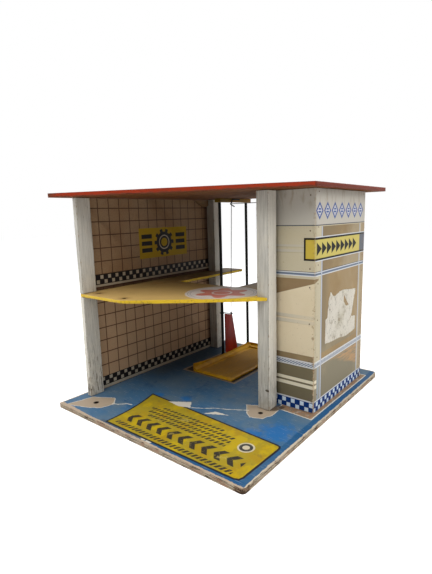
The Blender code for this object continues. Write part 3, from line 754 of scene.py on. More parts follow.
def makeTowerPrint():
    values = towerPrint
    paint = Finish("shop_print", values, "beige", 0.5)
    z = paint.z
    # s runs round the arris: below 0 on the front, above 0 on the side
    low, high = boxOf("tower_front_panel")
    s = paint.calc("SUBTRACT", paint.calc("ADD", paint.x, paint.y), high[0] + low[1])
    front = paint.calc("LESS_THAN", s, 0.0)
    side = paint.without(front)
    across = paint.ramp(s, -64.0, 0.0)
    # panes between the side's two uprights
    between = paint.both(side, paint.band(s, values["frames"][0][0], values["frames"][1][1]))
    panes = {name: paint.both(between, paint.band(z, *ends)) for name, ends in values["panes"].items()}
    paint.lay(panes["all"], "pane")
    slant = paint.calc("MULTIPLY_ADD", s, 0.55, z)
    shade = paint.ramp(paint.wavy(slant, 14.0, 0.02), 225.0, 150.0)
    paint.lay(paint.both(panes["middle"], paint.cloudy("soft")), "beige", 0.15)
    fromUpright = paint.fade(paint.wavy(s, 5.0, 0.03), 24.0, 46.0)
    paint.lay(paint.both(panes["middle"], fromUpright), "paneShade", 0.9)
    paint.lay(paint.both(panes["upper"], paint.without(shade)), "paneShade", 0.5)
    fromLeft = paint.wavy(paint.calc("MULTIPLY_ADD", z, -0.5, s), 12.0, 0.05)
    paint.lay(paint.both(panes["upper"], paint.fade(fromLeft, -80.0, -30.0)), "paneShade", 0.75)
    paint.lay(paint.both(panes["upper"], paint.ramp(fromLeft, -30.0, 10.0)), "beige", 0.35)
    olive = paint.fade(paint.wavy(paint.calc("MULTIPLY_ADD", s, 0.12, z), 5.0, 0.04), 84.0, 92.0)
    paint.lay(paint.both(panes["middle"], olive), "olive", 0.7)
    paint.lay(panes["lower"], "olive")
    gleam = paint.depthInside(s, z, values["gleamArea"])
    gleam = paint.ramp(paint.wavy(gleam, 1.5, 0.08), -2.0, 4.0)
    paint.lay(paint.both(panes["lower"], gleam, paint.cloudy("gleamStreaks")), "gleam", 0.8)
    lowEdge = paint.both(side, paint.band(z, 13.0, 57.0), paint.band(s, -1.0, values["frames"][0][0]))
    paint.lay(lowEdge, "lowEdge")
    paint.lay(paint.both(lowEdge, paint.band(s, 7.8, 14.2, 0.5)), "lowBlue", 0.8)
    edgeStrip = paint.both(paint.ramp(s, 138.0, 141.5), paint.band(z, 13.0, 226.5))
    paint.lay(edgeStrip, "edgeStrip", 0.8)
    # the front, from the bottom up
    paint.lay(paint.both(front, paint.band(z, 72.0, 164.0)), "pale")
    paint.lay(paint.both(front, paint.band(z, 15.0, 72.0)), "dark")
    paint.lay(paint.both(front, paint.band(z, 64.6, 72.0)), "brown", 0.7)
    paint.lay(paint.ramp(paint.depthInside(s, z, values["wedge"]), -0.2, 0.2), "brown")
    wide = paint.band(s, -66.0, 7.4)
    for start, end in values["lowStripes"]:
        paint.lay(paint.both(wide, paint.band(z, start, end)), "cream")
    fading = paint.calc("MULTIPLY_ADD", across, -0.6, 0.9)
    for start, end in values["fadingStripes"]:
        paint.lay(paint.both(front, paint.band(z, start, end, 0.4), fading), "plain")
        shadow = paint.band(z, start - 0.8, start, 0.3)
        paint.lay(paint.both(front, shadow, fading), "paneShade", 0.5)
    # yellowing and dirt
    grime = paint.use("grime", Size=0.018, Cover=0.4)
    paint.lay(grime["Blotches"], "yellowed", 0.22)
    paint.lay(grime["Specks"], "specks", 0.45)
    # lines that go round both faces
    slanted = paint.calc("MULTIPLY_ADD", z, -1.6, s)
    hatch = paint.ramp(paint.calc("PINGPONG", slanted, 2.0), 0.6, 1.0)
    for start, end, colour in values["linesAround"]:
        paint.lay(paint.band(z, start, end), colour)
    paint.lay(paint.both(paint.band(z, 58.6, 62.6), hatch), "blueGrey")
    for start, end in values["frames"]:
        paint.lay(paint.patch(s, z, (start, end, 14.0, 226.5)), "blueGrey", 0.6)
        paint.lay(paint.patch(s, z, (start + 0.5, end - 0.5, 14.0, 226.5)), "upright")
    paint.lay(paint.band(z, 228.6, 275.0), "plain")
    paint.lay(paint.both(paint.cloudy("stains"), paint.ramp(z, 236.0, 266.0)), "brown", 0.4)
    layTowerFrieze(paint, values, s)
    layTowerSign(paint, values, s)
    # the checked plinth
    plinth = paint.band(z, -2.0, values["plinth"] + 0.3)
    paint.lay(plinth, "checkBlue")
    pitch = {"Pitch_U": values["plinthPitch"], "Pitch_V": values["plinth"] / 2}
    checks = paint.use("checks", U=s, V=z, Inset=0.08, **pitch)["Mask"]
    paint.lay(paint.both(plinth, checks), "checkWhite")
    paint.lay(paint.band(z, -0.3, 0.8), "white", 0.7)
    # a rubbed arris
    rubbed = paint.wavy(paint.calc("ABSOLUTE", s), 1.6, 0.25)
    arris = paint.both(paint.fade(rubbed, 0.3, 1.5), paint.ramp(z, 40.0, 120.0, 0.8, 0.25))
    paint.lay(arris, "boardLight")
    # brown knocks along both ends of the print, most of them low down
    ends = paint.either(paint.fade(rubbed, 2.0, 4.5), paint.ramp(s, 141.0, 147.0))
    lowDown = paint.ramp(z, 50.0, 200.0, 1.0, 0.35)
    paint.lay(paint.both(ends, paint.cloudy("bruises"), lowDown), "brown", 0.9)
    spots = paint.both(paint.ramp(s, 140.0, 144.0), paint.cloudy("spots"))
    paint.lay(paint.both(spots, paint.ramp(z, 120.0, 60.0)), "black", 0.7)
    # the print is on the outside alone
    outside = paint.either(paint.facing(0), paint.facing(1, -1))
    inner = boxOf("tower_side_panel")[0][0]
    reallySide = paint.either(paint.facing(1, -1), paint.calc("GREATER_THAN", paint.x, inner + 2.0))
    bare = paint.without(paint.both(outside, reallySide))
    fibres = paint.bareBoard(bare, "board", "boardLight", 0.5)
    paint.rub(arris, 0.8)
    paint.emboss(fibres, 0.8)
    paint.emboss(paint.cloud(0.5, 4.0), 0.3)
    paint.emboss(arris, -0.6)
    return paint.done(0.00012, specular=0.12)


# The base board: blue print with a yellow panel on top, bare plywood at its edges and underneath
basePrint = {
    "blue": (58, 97, 130),
    "dusty": (88, 107, 120),
    "bright": (6, 96, 164),
    "deep": (24, 76, 118),
    "slate": (66, 80, 96),
    "wallShade": (34, 38, 44),
    "bare": (158, 142, 122),
    "footBare": (126, 108, 88),
    "footSpeck": (160, 110, 72),
    "pale": (200, 195, 182),
    "yellow": (152, 133, 34),
    "yellowDeep": (158, 124, 18),
    "yellowPale": (178, 160, 84),
    "yellowFresh": (186, 158, 12),
    "yellowDirty": (122, 106, 50),
    "ink": (32, 32, 38),
    "ply": (186, 174, 152),
    "plyPink": (172, 153, 132),
    "cornerDark": (104, 76, 54),
    "plyDark": (106, 84, 62),
    "plyRed": (150, 108, 84),
    "crack": (58, 44, 34),
    "socket": (30, 20, 14),
    "bayLine": (140, 126, 108),
    "shadedBay": (58, 46, 36),
    "margin": 2.6,
    "freshPlaces": [(272, 104, 24), (250, 86, 13), (88, 97, 8), (128, 110, 9)],
    "baredPlaces": [(160.0, 3.2), (169.0, 4.0)],
    "sockets": [(37.3, 30.0, 3.5), (231.0, 133.0, 2.9)],
    "panel": [
        (93.5, 7.0), (283.0, 8.5), (287.0, 10.0), (288.5, 14.0), (289.9, 76.0), (288.6, 79.4),
        (285.0, 80.3), (80.6, 92.1),
    ],
    "panelBow": (-137.5, 15.5, 231.0),
    "leftFoot": [(9.5, 3.5), (40.1, 15.0), (55.5, 24.4), (60.0, 40.5), (46.5, 53.6), (18.5, 37.5)],
    "centreFoot": [
        (204.8, 141.8), (216, 125.3), (226.5, 116.6), (240, 122.3), (245.3, 136.5), (243.8, 162),
    ],
    "towerFoot": [(240.0, 155.9), (289.6, 152.8), (291.6, 328.3), (240.0, 333.0)],
    "torn": [(114.1, 89.4), (134.6, 87.0), (150.5, 92.4), (140.4, 105.9)],
    "sliver": [(172.9, 89.1), (202.9, 104.7), (183.8, 103.4)],
    "scratches": [
        [(58.0, 40.8), (66.0, 44.0), (74.0, 52.0), (81.3, 53.8)],
        [(152.0, 94.0), (165.0, 101.0), (178.0, 111.0), (190.0, 116.0), (202.0, 123.0), (215.0, 130.5)],
    ],
    "lift": [(47.0, 187.0), (150.0, 187.0), (150.0, 353.0), (47.0, 353.0)],
    "corner": [(231.0, 140.5), (243.0, 146.0), (249.0, 155.5), (249.0, 167.0), (236.0, 167.0)],
    "arrowHeads": {"middle": 31.0, "half": 9.0, "pitch": 17.0, "start": 106.0, "end": 278.0},
    "slantPitch": 6.2,
    "bars": [
        (11.0, 17.0, 102.0, 277.0), (45.5, 50.5, 120.0, 242.0), (53.5, 58.5, 114.0, 242.0),
        (61.5, 66.5, 110.0, 242.0), (69.5, 73.5, 124.0, 222.0),
    ],
    "roundel": (262.0, 58.0, 9.5),
    "clouds": {
        "wornMarks": (0.25, 0.45, 0.35, 4.0, 0.7),
        "chips": (0.56, 0.63, 0.22, 4.0, 0.7),
        "pinkPly": (0.5, 0.62, 0.045, 3.0),
        "reddened": (0.53, 0.62, 0.06, 3.0, 0.6, (1.0, 1.0, 3.0)),
        "splits": (0.57, 0.61, 0.5, 3.0, 0.6, (0.12, 0.12, 1.6)),
        "pits": (0.5, 0.55, 0.32, 3.0, 0.6),
        "freshBlue": (0.56, 0.66, 0.028, 4.0, 0.65),
        "amber": (0.5, 0.62, 0.03, 3.0),
        "freshYellow": (0.5, 0.6, 0.042, 4.0, 0.65, (1.0, 0.6, 1.0)),
        "dirty": (0.56, 0.66, 0.09, 4.0, 0.7),
        "faded": (0.6, 0.7, 0.05, 5.0, 0.7),
        "footSpecks": (0.48, 0.6, 0.3, 4.0, 0.7),
        "footGreyed": (0.52, 0.66, 0.11, 4.0, 0.7),
    },
}


def layPanelMarks(paint, values, top):
    # lane marks on the yellow panel: a row of arrow heads, rows of slanted bars and a roundel
    x, y = paint.x, paint.y
    heads = values["arrowHeads"]
    fold = paint.calc("ABSOLUTE", paint.calc("SUBTRACT", y, heads["middle"]))
    along = paint.calc("DIVIDE", paint.calc("MULTIPLY_ADD", fold, -0.8, x), heads["pitch"])
    slanted = paint.band(paint.calc("FRACT", along), 0.12, 0.58, 0.02)
    marks = paint.both(slanted, paint.band(fold, -1.0, heads["half"]))
    marks = paint.both(marks, paint.band(x, heads["start"], heads["end"]))
    slant = paint.calc("DIVIDE", paint.calc("MULTIPLY_ADD", y, -0.6, x), values["slantPitch"])
    bars = paint.band(paint.calc("FRACT", slant), 0.12, 0.74, 0.04)
    for near, far, start, end in values["bars"]:
        row = paint.both(paint.band(y, near, far), paint.band(x, start, end))
        marks = paint.either(marks, paint.both(bars, row))
    centreX, centreY, radius = values["roundel"]
    away = paint.circle(x, y, centreX, centreY)[0]
    paint.lay(paint.both(top, paint.band(away, -1.0, radius)), "pale", 0.65)
    marks = paint.either(marks, paint.band(away, radius - 5.5, radius - 2.0))
    paint.lay(paint.both(top, marks, paint.cloudy("wornMarks")), "ink", 0.95)


def layBasePlywood(paint, top):
    # three plies show at the edges
    sheet = paint.wavy(paint.z, 0.35, 0.15)
    core = paint.either(paint.band(sheet, -4.6, -3.9, 0.2), paint.band(sheet, -2.4, -1.7, 0.2))
    sides = paint.without(top)
    grain = paint.use("grain", Stretch=(0.15, 0.15, 1.6), Size=1.0)
    paint.lay(sides, "ply")
    chips = paint.cloudy("chips")
    splits = paint.cloudy("splits")
    bruised = paint.wavy(paint.circle(paint.x, paint.y, boardWidth, 0.0)[0], 4.0, 0.1)
    pits = paint.either(paint.cloudy("pits"), paint.fade(sheet, -4.6, -3.8))
    for mask, colour, strength in (
        (core, "plyDark", 0.9),
        (grain["Streaks"], "plyDark", 0.3),
        (grain["Flecks"], "plyDark", 0.85),
        (chips, "plyDark", 0.5),
        (paint.cloudy("pinkPly"), "plyPink", 0.6),
        (paint.cloudy("reddened"), "plyRed", 0.55),
        (splits, "crack", 0.9),
        (paint.fade(bruised, 9.0, 13.0), "cornerDark", 0.7),
        (paint.both(pits, paint.fade(bruised, 6.0, 11.0)), "crack", 0.85),
    ):
        paint.lay(paint.both(sides, mask), colour, strength)
    paint.emboss(paint.both(sides, splits), -2.0)
    under = paint.facing(2, -1)
    below = paint.use("grain", Stretch=(0.05, 1.0, 1.0), Size=0.6)
    paint.lay(paint.both(under, below["Streaks"]), "plyDark", 0.3)
    paint.emboss(paint.both(sides, grain["Streaks"]), -0.8)
    paint.emboss(paint.both(sides, chips), -1.6)
    return sides


def makeBasePrint():
    values = basePrint
    paint = Finish("printed_base_board", values, "blue", 0.5)
    x, y = paint.x, paint.y
    low, high = boxOf("base_board")
    top = paint.facing(2)
    # the blue ground, dusty in places and fresher in others
    grime = paint.use("grime", Size=0.017, Cover=0.5)
    paint.lay(grime["Blotches"], "dusty", 0.75)
    paint.lay(paint.cloudy("freshBlue"), "deep", 0.55)
    for centreX, centreY, radius in values["freshPlaces"]:
        fresh = paint.disc(x, y, (centreX, centreY), radius * 0.4, radius * 1.15, radius * 0.45, 0.09)
        paint.lay(fresh, "bright", 0.66)
    strip = paint.both(paint.band(x, 174.0, 296.0, 2.0), paint.band(y, 0.0, 8.5))
    rightStrip = paint.both(paint.ramp(x, 289.5, 291.5), paint.ramp(y, 20.0, 130.0, 0.6, 1.0))
    paint.lay(paint.either(strip, rightStrip), "deep", 0.9)
    slateStrip = paint.both(paint.band(x, 84.0, 172.0, 4.0), paint.fade(y, 6.0, 8.5))
    paint.lay(slateStrip, "slate", 0.8)
    for across, radius in values["baredPlaces"]:
        bared = paint.disc(x, y, (across, 4.6), radius - 0.4, radius + 0.4, 2.4, 0.3)
        paint.lay(bared, "pale", 0.9)
    # painted shade along the foot of the wall, darkest near the wall and towards the back
    wallShadeMask = paint.both(paint.fade(x, 20.0, 85.0), paint.ramp(y, 70.0, 190.0))
    paint.lay(wallShadeMask, "wallShade", 0.68)
    streaks = paint.use("grain", Stretch=(0.06, 1.0, 1.0), Size=0.5)
    paint.lay(streaks["Flecks"], "pale", 0.22)
    paint.lay(grime["Specks"], "pale", 0.25)
    # the yellow panel
    ragged = paint.wander(0.5, 0.3)
    bowX, bowY, bowRadius = values["panelBow"]
    bow = paint.calc("SUBTRACT", paint.circle(x, y, bowX, bowY)[0], bowRadius)
    panel = paint.calc("MINIMUM", paint.depthInside(x, y, values["panel"]), bow)
    panel = paint.wavy(panel, 0.25, 0.3)
    paint.lay(paint.ramp(panel, -2.7, -2.2), "ink")
    paint.lay(paint.ramp(panel, -0.2, 0.2), "yellow")
    onPanel = paint.ramp(panel, 0.0, 0.4)
    paint.lay(paint.both(onPanel, paint.cloudy("amber")), "yellowDeep", 0.6)
    paint.lay(paint.both(onPanel, paint.cloudy("freshYellow")), "yellowFresh", 0.6)
    paint.lay(paint.both(onPanel, paint.cloudy("dirty")), "yellowDirty", 0.55)
    layPanelMarks(paint, values, onPanel)
    paint.lay(paint.both(onPanel, paint.cloudy("faded")), "yellowPale", 0.6)
    # bare places round the feet, torn print and scratches
    for name in ("leftFoot", "centreFoot"):
        depth = paint.wavy(paint.depthInside(x, y, values[name]), 1.1, 0.16)
        paint.lay(paint.ramp(depth, -1.2, -0.7), "pale")
        paint.lay(paint.ramp(depth, -0.3, 0.3), "bare")
    tower = paint.calc("ADD", paint.depthInside(x, y, values["towerFoot"]), ragged)
    paint.lay(paint.ramp(tower, -0.2, 0.2), "pale")
    paint.lay(paint.ramp(tower, 1.2, 1.8), "footBare")
    inTower = paint.ramp(tower, 1.6, 2.2)
    paint.lay(paint.both(inTower, paint.cloudy("footSpecks")), "footSpeck", 0.75)
    paint.lay(paint.both(inTower, paint.cloudy("footGreyed")), "pale", 0.35)
    for name in ("torn", "sliver"):
        depth = paint.wavy(paint.depthInside(x, y, values[name]), 0.9, 0.25)
        paint.lay(paint.ramp(depth, -0.2, 0.3), "pale")
    for route in values["scratches"]:
        paint.lay(paint.strokes(x, y, route, 1.5, 0.9, 0.16), "pale", 0.9)
    # the lift's place: a pale line round a bay painted dark, as painted shade under the lift's deck
    shadedBay = paint.depthInside(x, y, values["lift"])
    paint.lay(paint.ramp(shadedBay, -0.2, 0.2), "bayLine")
    paint.lay(paint.ramp(shadedBay, 3.4, 4.4), "shadedBay")
    # painted shade in the corner between the centre post and the tower
    corner = paint.depthInside(x, y, values["corner"])
    paint.lay(paint.ramp(corner, 0.0, 3.0), "crack", 0.8)
    # bare margin, wider where the print has peeled at the left end of the front edge
    corners = [(low[0], low[1]), (high[0], low[1]), (high[0], high[1]), (low[0] + 3.0, high[1])]
    margin = paint.wavy(paint.depthInside(x, y, corners), 1.1, 0.12)
    paint.lay(paint.fade(margin, values["margin"] - 0.8, values["margin"]), "ply")
    peel = paint.ramp(paint.wavy(x, 9.0, 0.08), 8.0, 74.0, 2.6, 0.0)
    peeled = paint.calc("SUBTRACT", paint.wavy(y, 1.0, 0.3), peel)
    paint.lay(paint.fade(peeled, 2.1, 2.7), "plyPink")
    sides = layBasePlywood(paint, top)
    # painted shade: the sockets are painted near black, as the shade in the holes
    for across, along, radius in values["sockets"]:
        paint.lay(paint.disc(x, y, (across, along), radius, radius + 0.5), "socket")
    paint.rub(sides, 0.85)
    paint.emboss(paint.cloud(0.5, 4.0), 0.3)
    return paint.done(0.00015, specular=0.14)


# The first floor: ochre paint, brighter yellow at its edge, and a printed disc with a plain rosette
floorPaint = {
    "ochre": (186, 155, 96),
    "shade": (148, 117, 66),
    "deep": (62, 42, 17),
    "edge": (209, 174, 42),
    "edgeWorn": (132, 102, 50),
    "stain": (52, 34, 24),
    "white": (194, 184, 175),
    "grey": (126, 122, 122),
    "salmon": (178, 104, 88),
    "under": (142, 106, 68),
    "disc": (168.0, 141.5, 48.0),
    "front": [(95.0, 37.0), (235.5, 143.0), (235.5, 360.0), (0.0, 360.0), (0.0, 37.0)],
    "sockets": [(28.4, 53.5), (87.2, 48.3)],
    "socketRadius": 2.2,
    "rosette": {"lobes": 6, "reach": 29.0, "depth": 6.5, "rings": (3.2, 6.4)},
    "clouds": {
        "rubbed": (0.55, 0.66, 0.07, 5.0, 0.7),
        "wornEdge": (0.52, 0.66, 0.3, 4.0, 0.7),
    },
}


def layRosette(paint, values):
    centreX, centreY, radius = values["disc"]
    away, angle = paint.circle(paint.x, paint.y, centreX, centreY)
    paint.lay(paint.band(away, -1.0, radius), "white")
    rosette = values["rosette"]
    for inset in rosette["rings"]:
        ring = radius - inset
        paint.lay(paint.band(away, ring - 0.9, ring, 0.25), "grey", 0.8)
    waves = paint.calc("COSINE", paint.calc("MULTIPLY", angle, rosette["lobes"]))
    lobes = paint.calc("MULTIPLY_ADD", waves, rosette["depth"], rosette["reach"])
    paint.lay(paint.ramp(paint.calc("SUBTRACT", lobes, away), -0.3, 0.3), "salmon")
    paint.lay(paint.band(away, 11.0, 13.5), "white")


def makeFloorPaint():
    values = floorPaint
    paint = Finish("ochre_floor_paint", values, "ochre", 0.5)
    x, y = paint.x, paint.y
    grime = paint.use("grime", Size=0.015, Cover=0.42)
    paint.lay(grime["Blotches"], "shade", 0.45)
    # painted shade: the floor darkens towards the back, under the roof
    paint.lay(paint.ramp(y, 60.0, 200.0), "shade", 0.5)
    paint.lay(paint.ramp(y, 95.0, 290.0), "deep", 0.8)
    layRosette(paint, values)
    paint.lay(paint.cloudy("rubbed"), "ochre", 0.4)
    for centre in values["sockets"]:
        away = paint.wavy(paint.circle(x, y, *centre)[0], 1.3, 0.25)
        paint.lay(paint.fade(away, 3.8, 5.6), "stain", 0.9)
        paint.lay(paint.fade(away, 4.0, 13.0), "shade", 0.6)
    paint.lay(grime["Specks"], "stain", 0.4)
    # the painted edge
    top = paint.facing(2)
    under = paint.facing(2, -1)
    sides = paint.without(paint.either(top, under))
    # the yellow runs over on to the top, most of all at the right tip
    overrun = paint.ramp(x, 196.0, 234.0, 0.0, 24.0)
    rim = paint.wavy(paint.depthInside(x, y, values["front"]), 1.0, 0.15)
    rim = paint.calc("SUBTRACT", rim, overrun)
    paint.lay(paint.both(top, paint.fade(rim, -1.6, 0.6)), "edge", 0.85)
    paint.lay(sides, "edge")
    worn = paint.cloudy("wornEdge")
    paint.lay(paint.both(sides, worn), "edgeWorn", 0.6)
    grain = paint.use("grain", Stretch=(0.05, 1.0, 1.0), Size=0.5)
    paint.lay(under, "under")
    paint.lay(paint.both(under, grain["Streaks"]), "edgeWorn", 0.4)
    # painted shade: the sockets' walls are painted dark, as the shade in the holes
    radius = values["socketRadius"]
    for centre in values["sockets"]:
        paint.lay(paint.disc(x, y, centre, radius, radius + 0.5), "stain")
    paint.rub(under, 0.85)
    paint.rub(sides, 0.45)
    paint.emboss(grain["Streaks"], 0.35)
    paint.emboss(paint.both(sides, worn), -1.0)
    paint.emboss(paint.cloud(0.6, 3.0), 0.2)
    return paint.done(0.00013, specular=0.15)


# The roof: red paint on top and at the edge, bare hardboard underneath
roofPaint = {
    "red": (151, 49, 22),
    "redWorn": (132, 44, 26),
    "sideRed": (94, 30, 10),
    "brown": (92, 56, 38),
    "board": (114, 72, 36),
    "boardDark": (74, 44, 22),
    "outline": [(-6.0, 9.5), (296.4, 144.0), (299.5, 362.0), (-6.0, 356.0)],
    "clouds": {
        "brownSpecks": (0.45, 0.6, 0.04),
        "chips": (0.62, 0.68, 0.35, 4.0, 0.7),
    },
}


def makeRoofPaint():
    values = roofPaint
    paint = Finish("red_roof_paint", values, "red", 0.45)
    lowest = boxOf("roof_board")[0][2]
    grime = paint.use("grime", Size=0.02, Cover=0.42)
    paint.lay(grime["Blotches"], "redWorn", 0.6)
    paint.lay(paint.both(grime["Specks"], paint.cloudy("brownSpecks")), "brown", 0.8)
    scratches = paint.use("grain", Stretch=(0.05, 0.6, 0.5), Size=0.7)
    paint.lay(scratches["Cracks"], "brown", 0.3)
    top = paint.facing(2)
    under = paint.facing(2, -1)
    inward = paint.depthInside(paint.x, paint.y, values["outline"])
    paint.lay(paint.both(top, paint.fade(paint.wavy(inward, 0.9, 0.2), 0.2, 1.2)), "brown", 0.6)
    # the edge is darker along its foot and at the left tip
    edge = paint.without(paint.either(top, under))
    foot = paint.fade(paint.wavy(paint.z, 1.1, 0.12), lowest + 0.5, lowest + 2.2)
    tip = paint.fade(paint.wavy(paint.x, 6.0, 0.08), -2.0, 12.0)
    rightFoot = paint.wavy(paint.z, 1.0, 0.12)
    rightFoot = paint.ramp(rightFoot, lowest + 1.6, lowest + 3.4, 1.0, 0.35)
    dark = paint.either(foot, tip, paint.both(paint.facing(0), rightFoot))
    paint.lay(paint.both(edge, dark), "brown", 0.85)
    chips = paint.cloudy("chips")
    paint.lay(paint.both(edge, chips), "boardDark", 0.8)
    # painted shade: the right edge is painted a darker red than the front edge
    paint.lay(paint.facing(0), "sideRed", 0.7)
    fibres = paint.bareBoard(under, "board", "boardDark", 0.7, 0.9)
    paint.lay(fibres, "boardDark", 0.35)
    overrun = paint.fade(paint.wavy(inward, 2.2, 0.1), 1.0, 3.0)
    paint.lay(paint.both(under, overrun), "redWorn", 0.8)
    paint.emboss(fibres, 0.8)
    paint.emboss(paint.both(edge, chips), -1.2)
    paint.emboss(paint.cloud(0.4, 4.0), 0.3)
    return paint.done(0.00015, specular=0.12)


# Bare wood and hardboard
rawWood = {"light": (188, 156, 114), "dark": (138, 102, 66), "knot": (92, 62, 40)}


def makeRawWood(name, stretch, shade=1.0):
    values = {**rawWood, "light": tuple(part * shade for part in rawWood["light"])}
    paint = Finish(name, values, "light", 0.8)
    grain = paint.use("grain", Stretch=stretch, Size=0.9)
    grime = paint.use("grime", Size=0.03, Cover=0.4)
    paint.lay(grain["Streaks"], "dark", 0.5)
    paint.lay(grime["Blotches"], "dark", 0.35)
    paint.lay(grain["Flecks"], "knot", 0.45)
    paint.lay(grime["Specks"], "knot", 0.4)
    paint.emboss(grain["Streaks"], -0.6)
    paint.emboss(grain["Flecks"], -0.5)
    return paint.done(0.00015, specular=0.12)


# The lift's worn yellow paint
liftPaint = {
    "yellow": (210, 158, 12),
    # olive: the lift's yellow darkened as painted shade, for the head bar under the roof
    "olive": (112, 92, 26),
    "amber": (160, 106, 12),
    "worn": (173, 129, 47),
    "wood": (164, 128, 68),
    "dark": (66, 46, 28),
    "tread": [(80.0, 196.0), (139.0, 196.0), (139.0, 332.0), (80.0, 332.0)],
}


def makeLiftPaint(name, nodeName, worn=False, ground="yellow"):
    values = liftPaint
    paint = Finish(name, values, ground, 0.45)
    grime = paint.use("grime", Size=0.035, Cover=0.45)
    grain = paint.use("grain", Stretch=(1.0, 0.06, 1.0), Size=1.0)
    paint.lay(grime["Blotches"], "amber", 0.7)
    if worn:
        # wheels have rubbed the middle of the deck down to the wood
        tread = paint.wavy(paint.depthInside(paint.x, paint.y, values["tread"]), 3.5, 0.07)
        middle = paint.both(paint.facing(2), paint.ramp(tread, -1.5, 3.0))
        paint.lay(middle, "worn", 0.92)
        paint.lay(paint.both(middle, grain["Streaks"]), "wood", 0.6)
        paint.lay(paint.both(middle, grain["Flecks"]), "dark", 0.6)
        paint.rub(middle, 0.7)
    paint.lay(grime["Specks"], "dark", 0.5)
    wear = paint.wornArrises(nodeName, 1.3)
    paint.lay(wear, "wood", 0.75)
    paint.emboss(grain["Streaks"], -0.4)
    paint.emboss(wear, -0.8)
    return paint.done(0.00012, specular=0.2)


# Red paint of the lift's plate and the crank's knob
redPaint = {"red": (174, 38, 18), "dark": (92, 18, 10), "worn": (180, 84, 58), "wood": (150, 112, 76)}


def makeRedPaint(name, nodeName):
    paint = Finish(name, redPaint, "red", 0.42)
    grime = paint.use("grime", Size=0.05, Cover=0.45)
    grain = paint.use("grain", Stretch=(1.0, 1.0, 0.05), Size=1.0)
    paint.lay(grime["Blotches"], "dark", 0.4)
    paint.lay(grain["Streaks"], "dark", 0.5)
    paint.lay(paint.ramp(paint.y, 292.0, 304.0), "dark", 0.3)
    paint.lay(grain["Cracks"], "dark", 0.6)
    paint.lay(grime["Specks"], "worn", 0.3)
    wear = paint.wornArrises(nodeName, 1.2)
    paint.lay(wear, "wood", 0.8)
    paint.emboss(grain["Streaks"], -0.4)
    paint.emboss(wear, -0.8)
    return paint.done(0.0001, specular=0.12)


# Metals
steel = {
    "black": (10, 10, 11),
    "rubbed": (52, 50, 48),
    "bright": (170, 168, 163),
    "brownPin": (118, 106, 90),
    "rust": (112, 70, 44),
}


def makeBlackSteel():
    paint = Finish("black_steel", steel, "black", 0.5)
    grime = paint.use("grime", Size=0.12, Cover=0.35)
    paint.lay(grime["Blotches"], "rubbed", 0.3)
    paint.lay(grime["Specks"], "rust", 0.4)
    paint.emboss(paint.cloud(1.6, 2.0), 0.4)
    return paint.done(0.00005, specular=0.16)


def makeBrightSteel():
    paint = Finish("bright_steel", steel, "bright", 0.32)
    grime = paint.use("grime", Size=0.2, Cover=0.4)
    drawn = paint.use("grain", Stretch=(1.0, 0.1, 1.0), Size=2.0)
    paint.lay(grime["Blotches"], "rust", 0.25)
    paint.lay(grime["Specks"], "rust", 0.6)
    paint.rub(grime["Blotches"], 0.6)
    paint.emboss(drawn["Streaks"], 0.3)
    return paint.done(0.00005, metallic=0.9, specular=0.5)


def makeDullSteel():
    # pins that have gone brown in the print
    paint = Finish("dull_steel", steel, "brownPin", 0.6)
    grime = paint.use("grime", Size=0.3, Cover=0.5)
    paint.lay(grime["Blotches"], "rust", 0.5)
    return paint.done(metallic=0.4, specular=0.3)


# The grey string's fibre
stringFibre = {
    "grey": (62, 60, 57),
    "dark": (48, 46, 44),
    "dusty": (104, 98, 84),
    "clouds": {
        "pale": (0.5, 0.7, 0.05),
    },
}


def makeStringFinish():
    paint = Finish("grey_string", stringFibre, "grey", 0.9)
    fuzz = paint.cloud(2.4, 3.0, 0.7)
    paint.lay(paint.ramp(fuzz, 0.4, 0.65), "dark", 0.8)
    paint.lay(paint.cloudy("pale"), "dusty", 0.4)
    paint.emboss(fuzz, 0.8)
    return paint.done(0.00008, specular=0.1)


# The torn paper, creased and brown in places
paperFibre = {
    "paper": (212, 206, 193),
    "aged": (182, 174, 154),
    "stain": (140, 126, 102),
    "crease": (112, 102, 84),
    "score": (118, 108, 90),
    "speck": (112, 106, 92),
    "clouds": {
        "stains": (0.56, 0.66, 0.06, 5.0, 0.7),
    },
}


def makeTornPaper():
    paint = Finish("torn_paper", paperFibre, "paper", 0.8)
    grime = paint.use("grime", Size=0.03, Cover=0.38)
    paint.lay(grime["Blotches"], "aged", 0.8)
    paint.lay(paint.cloudy("stains"), "stain", 0.7)
    creases = paint.use("grain", Stretch=(1.0, 1.0, 0.3), Size=0.35)
    paint.lay(creases["Cracks"], "crease", 0.75)
    scores = paint.use("grain", Stretch=(1.0, 1.0, 0.14), Size=0.8)
    paint.lay(scores["Flecks"], "score", 0.6)
    paint.emboss(creases["Cracks"], -1.5)
    paint.lay(grime["Specks"], "speck", 0.5)
    paint.emboss(paint.use("fibre", Size=1.6)["Fibres"], 0.6)
    paint.emboss(paint.cloud(0.08, 4.0), 1.6)
    return paint.done(0.0002, specular=0.12)


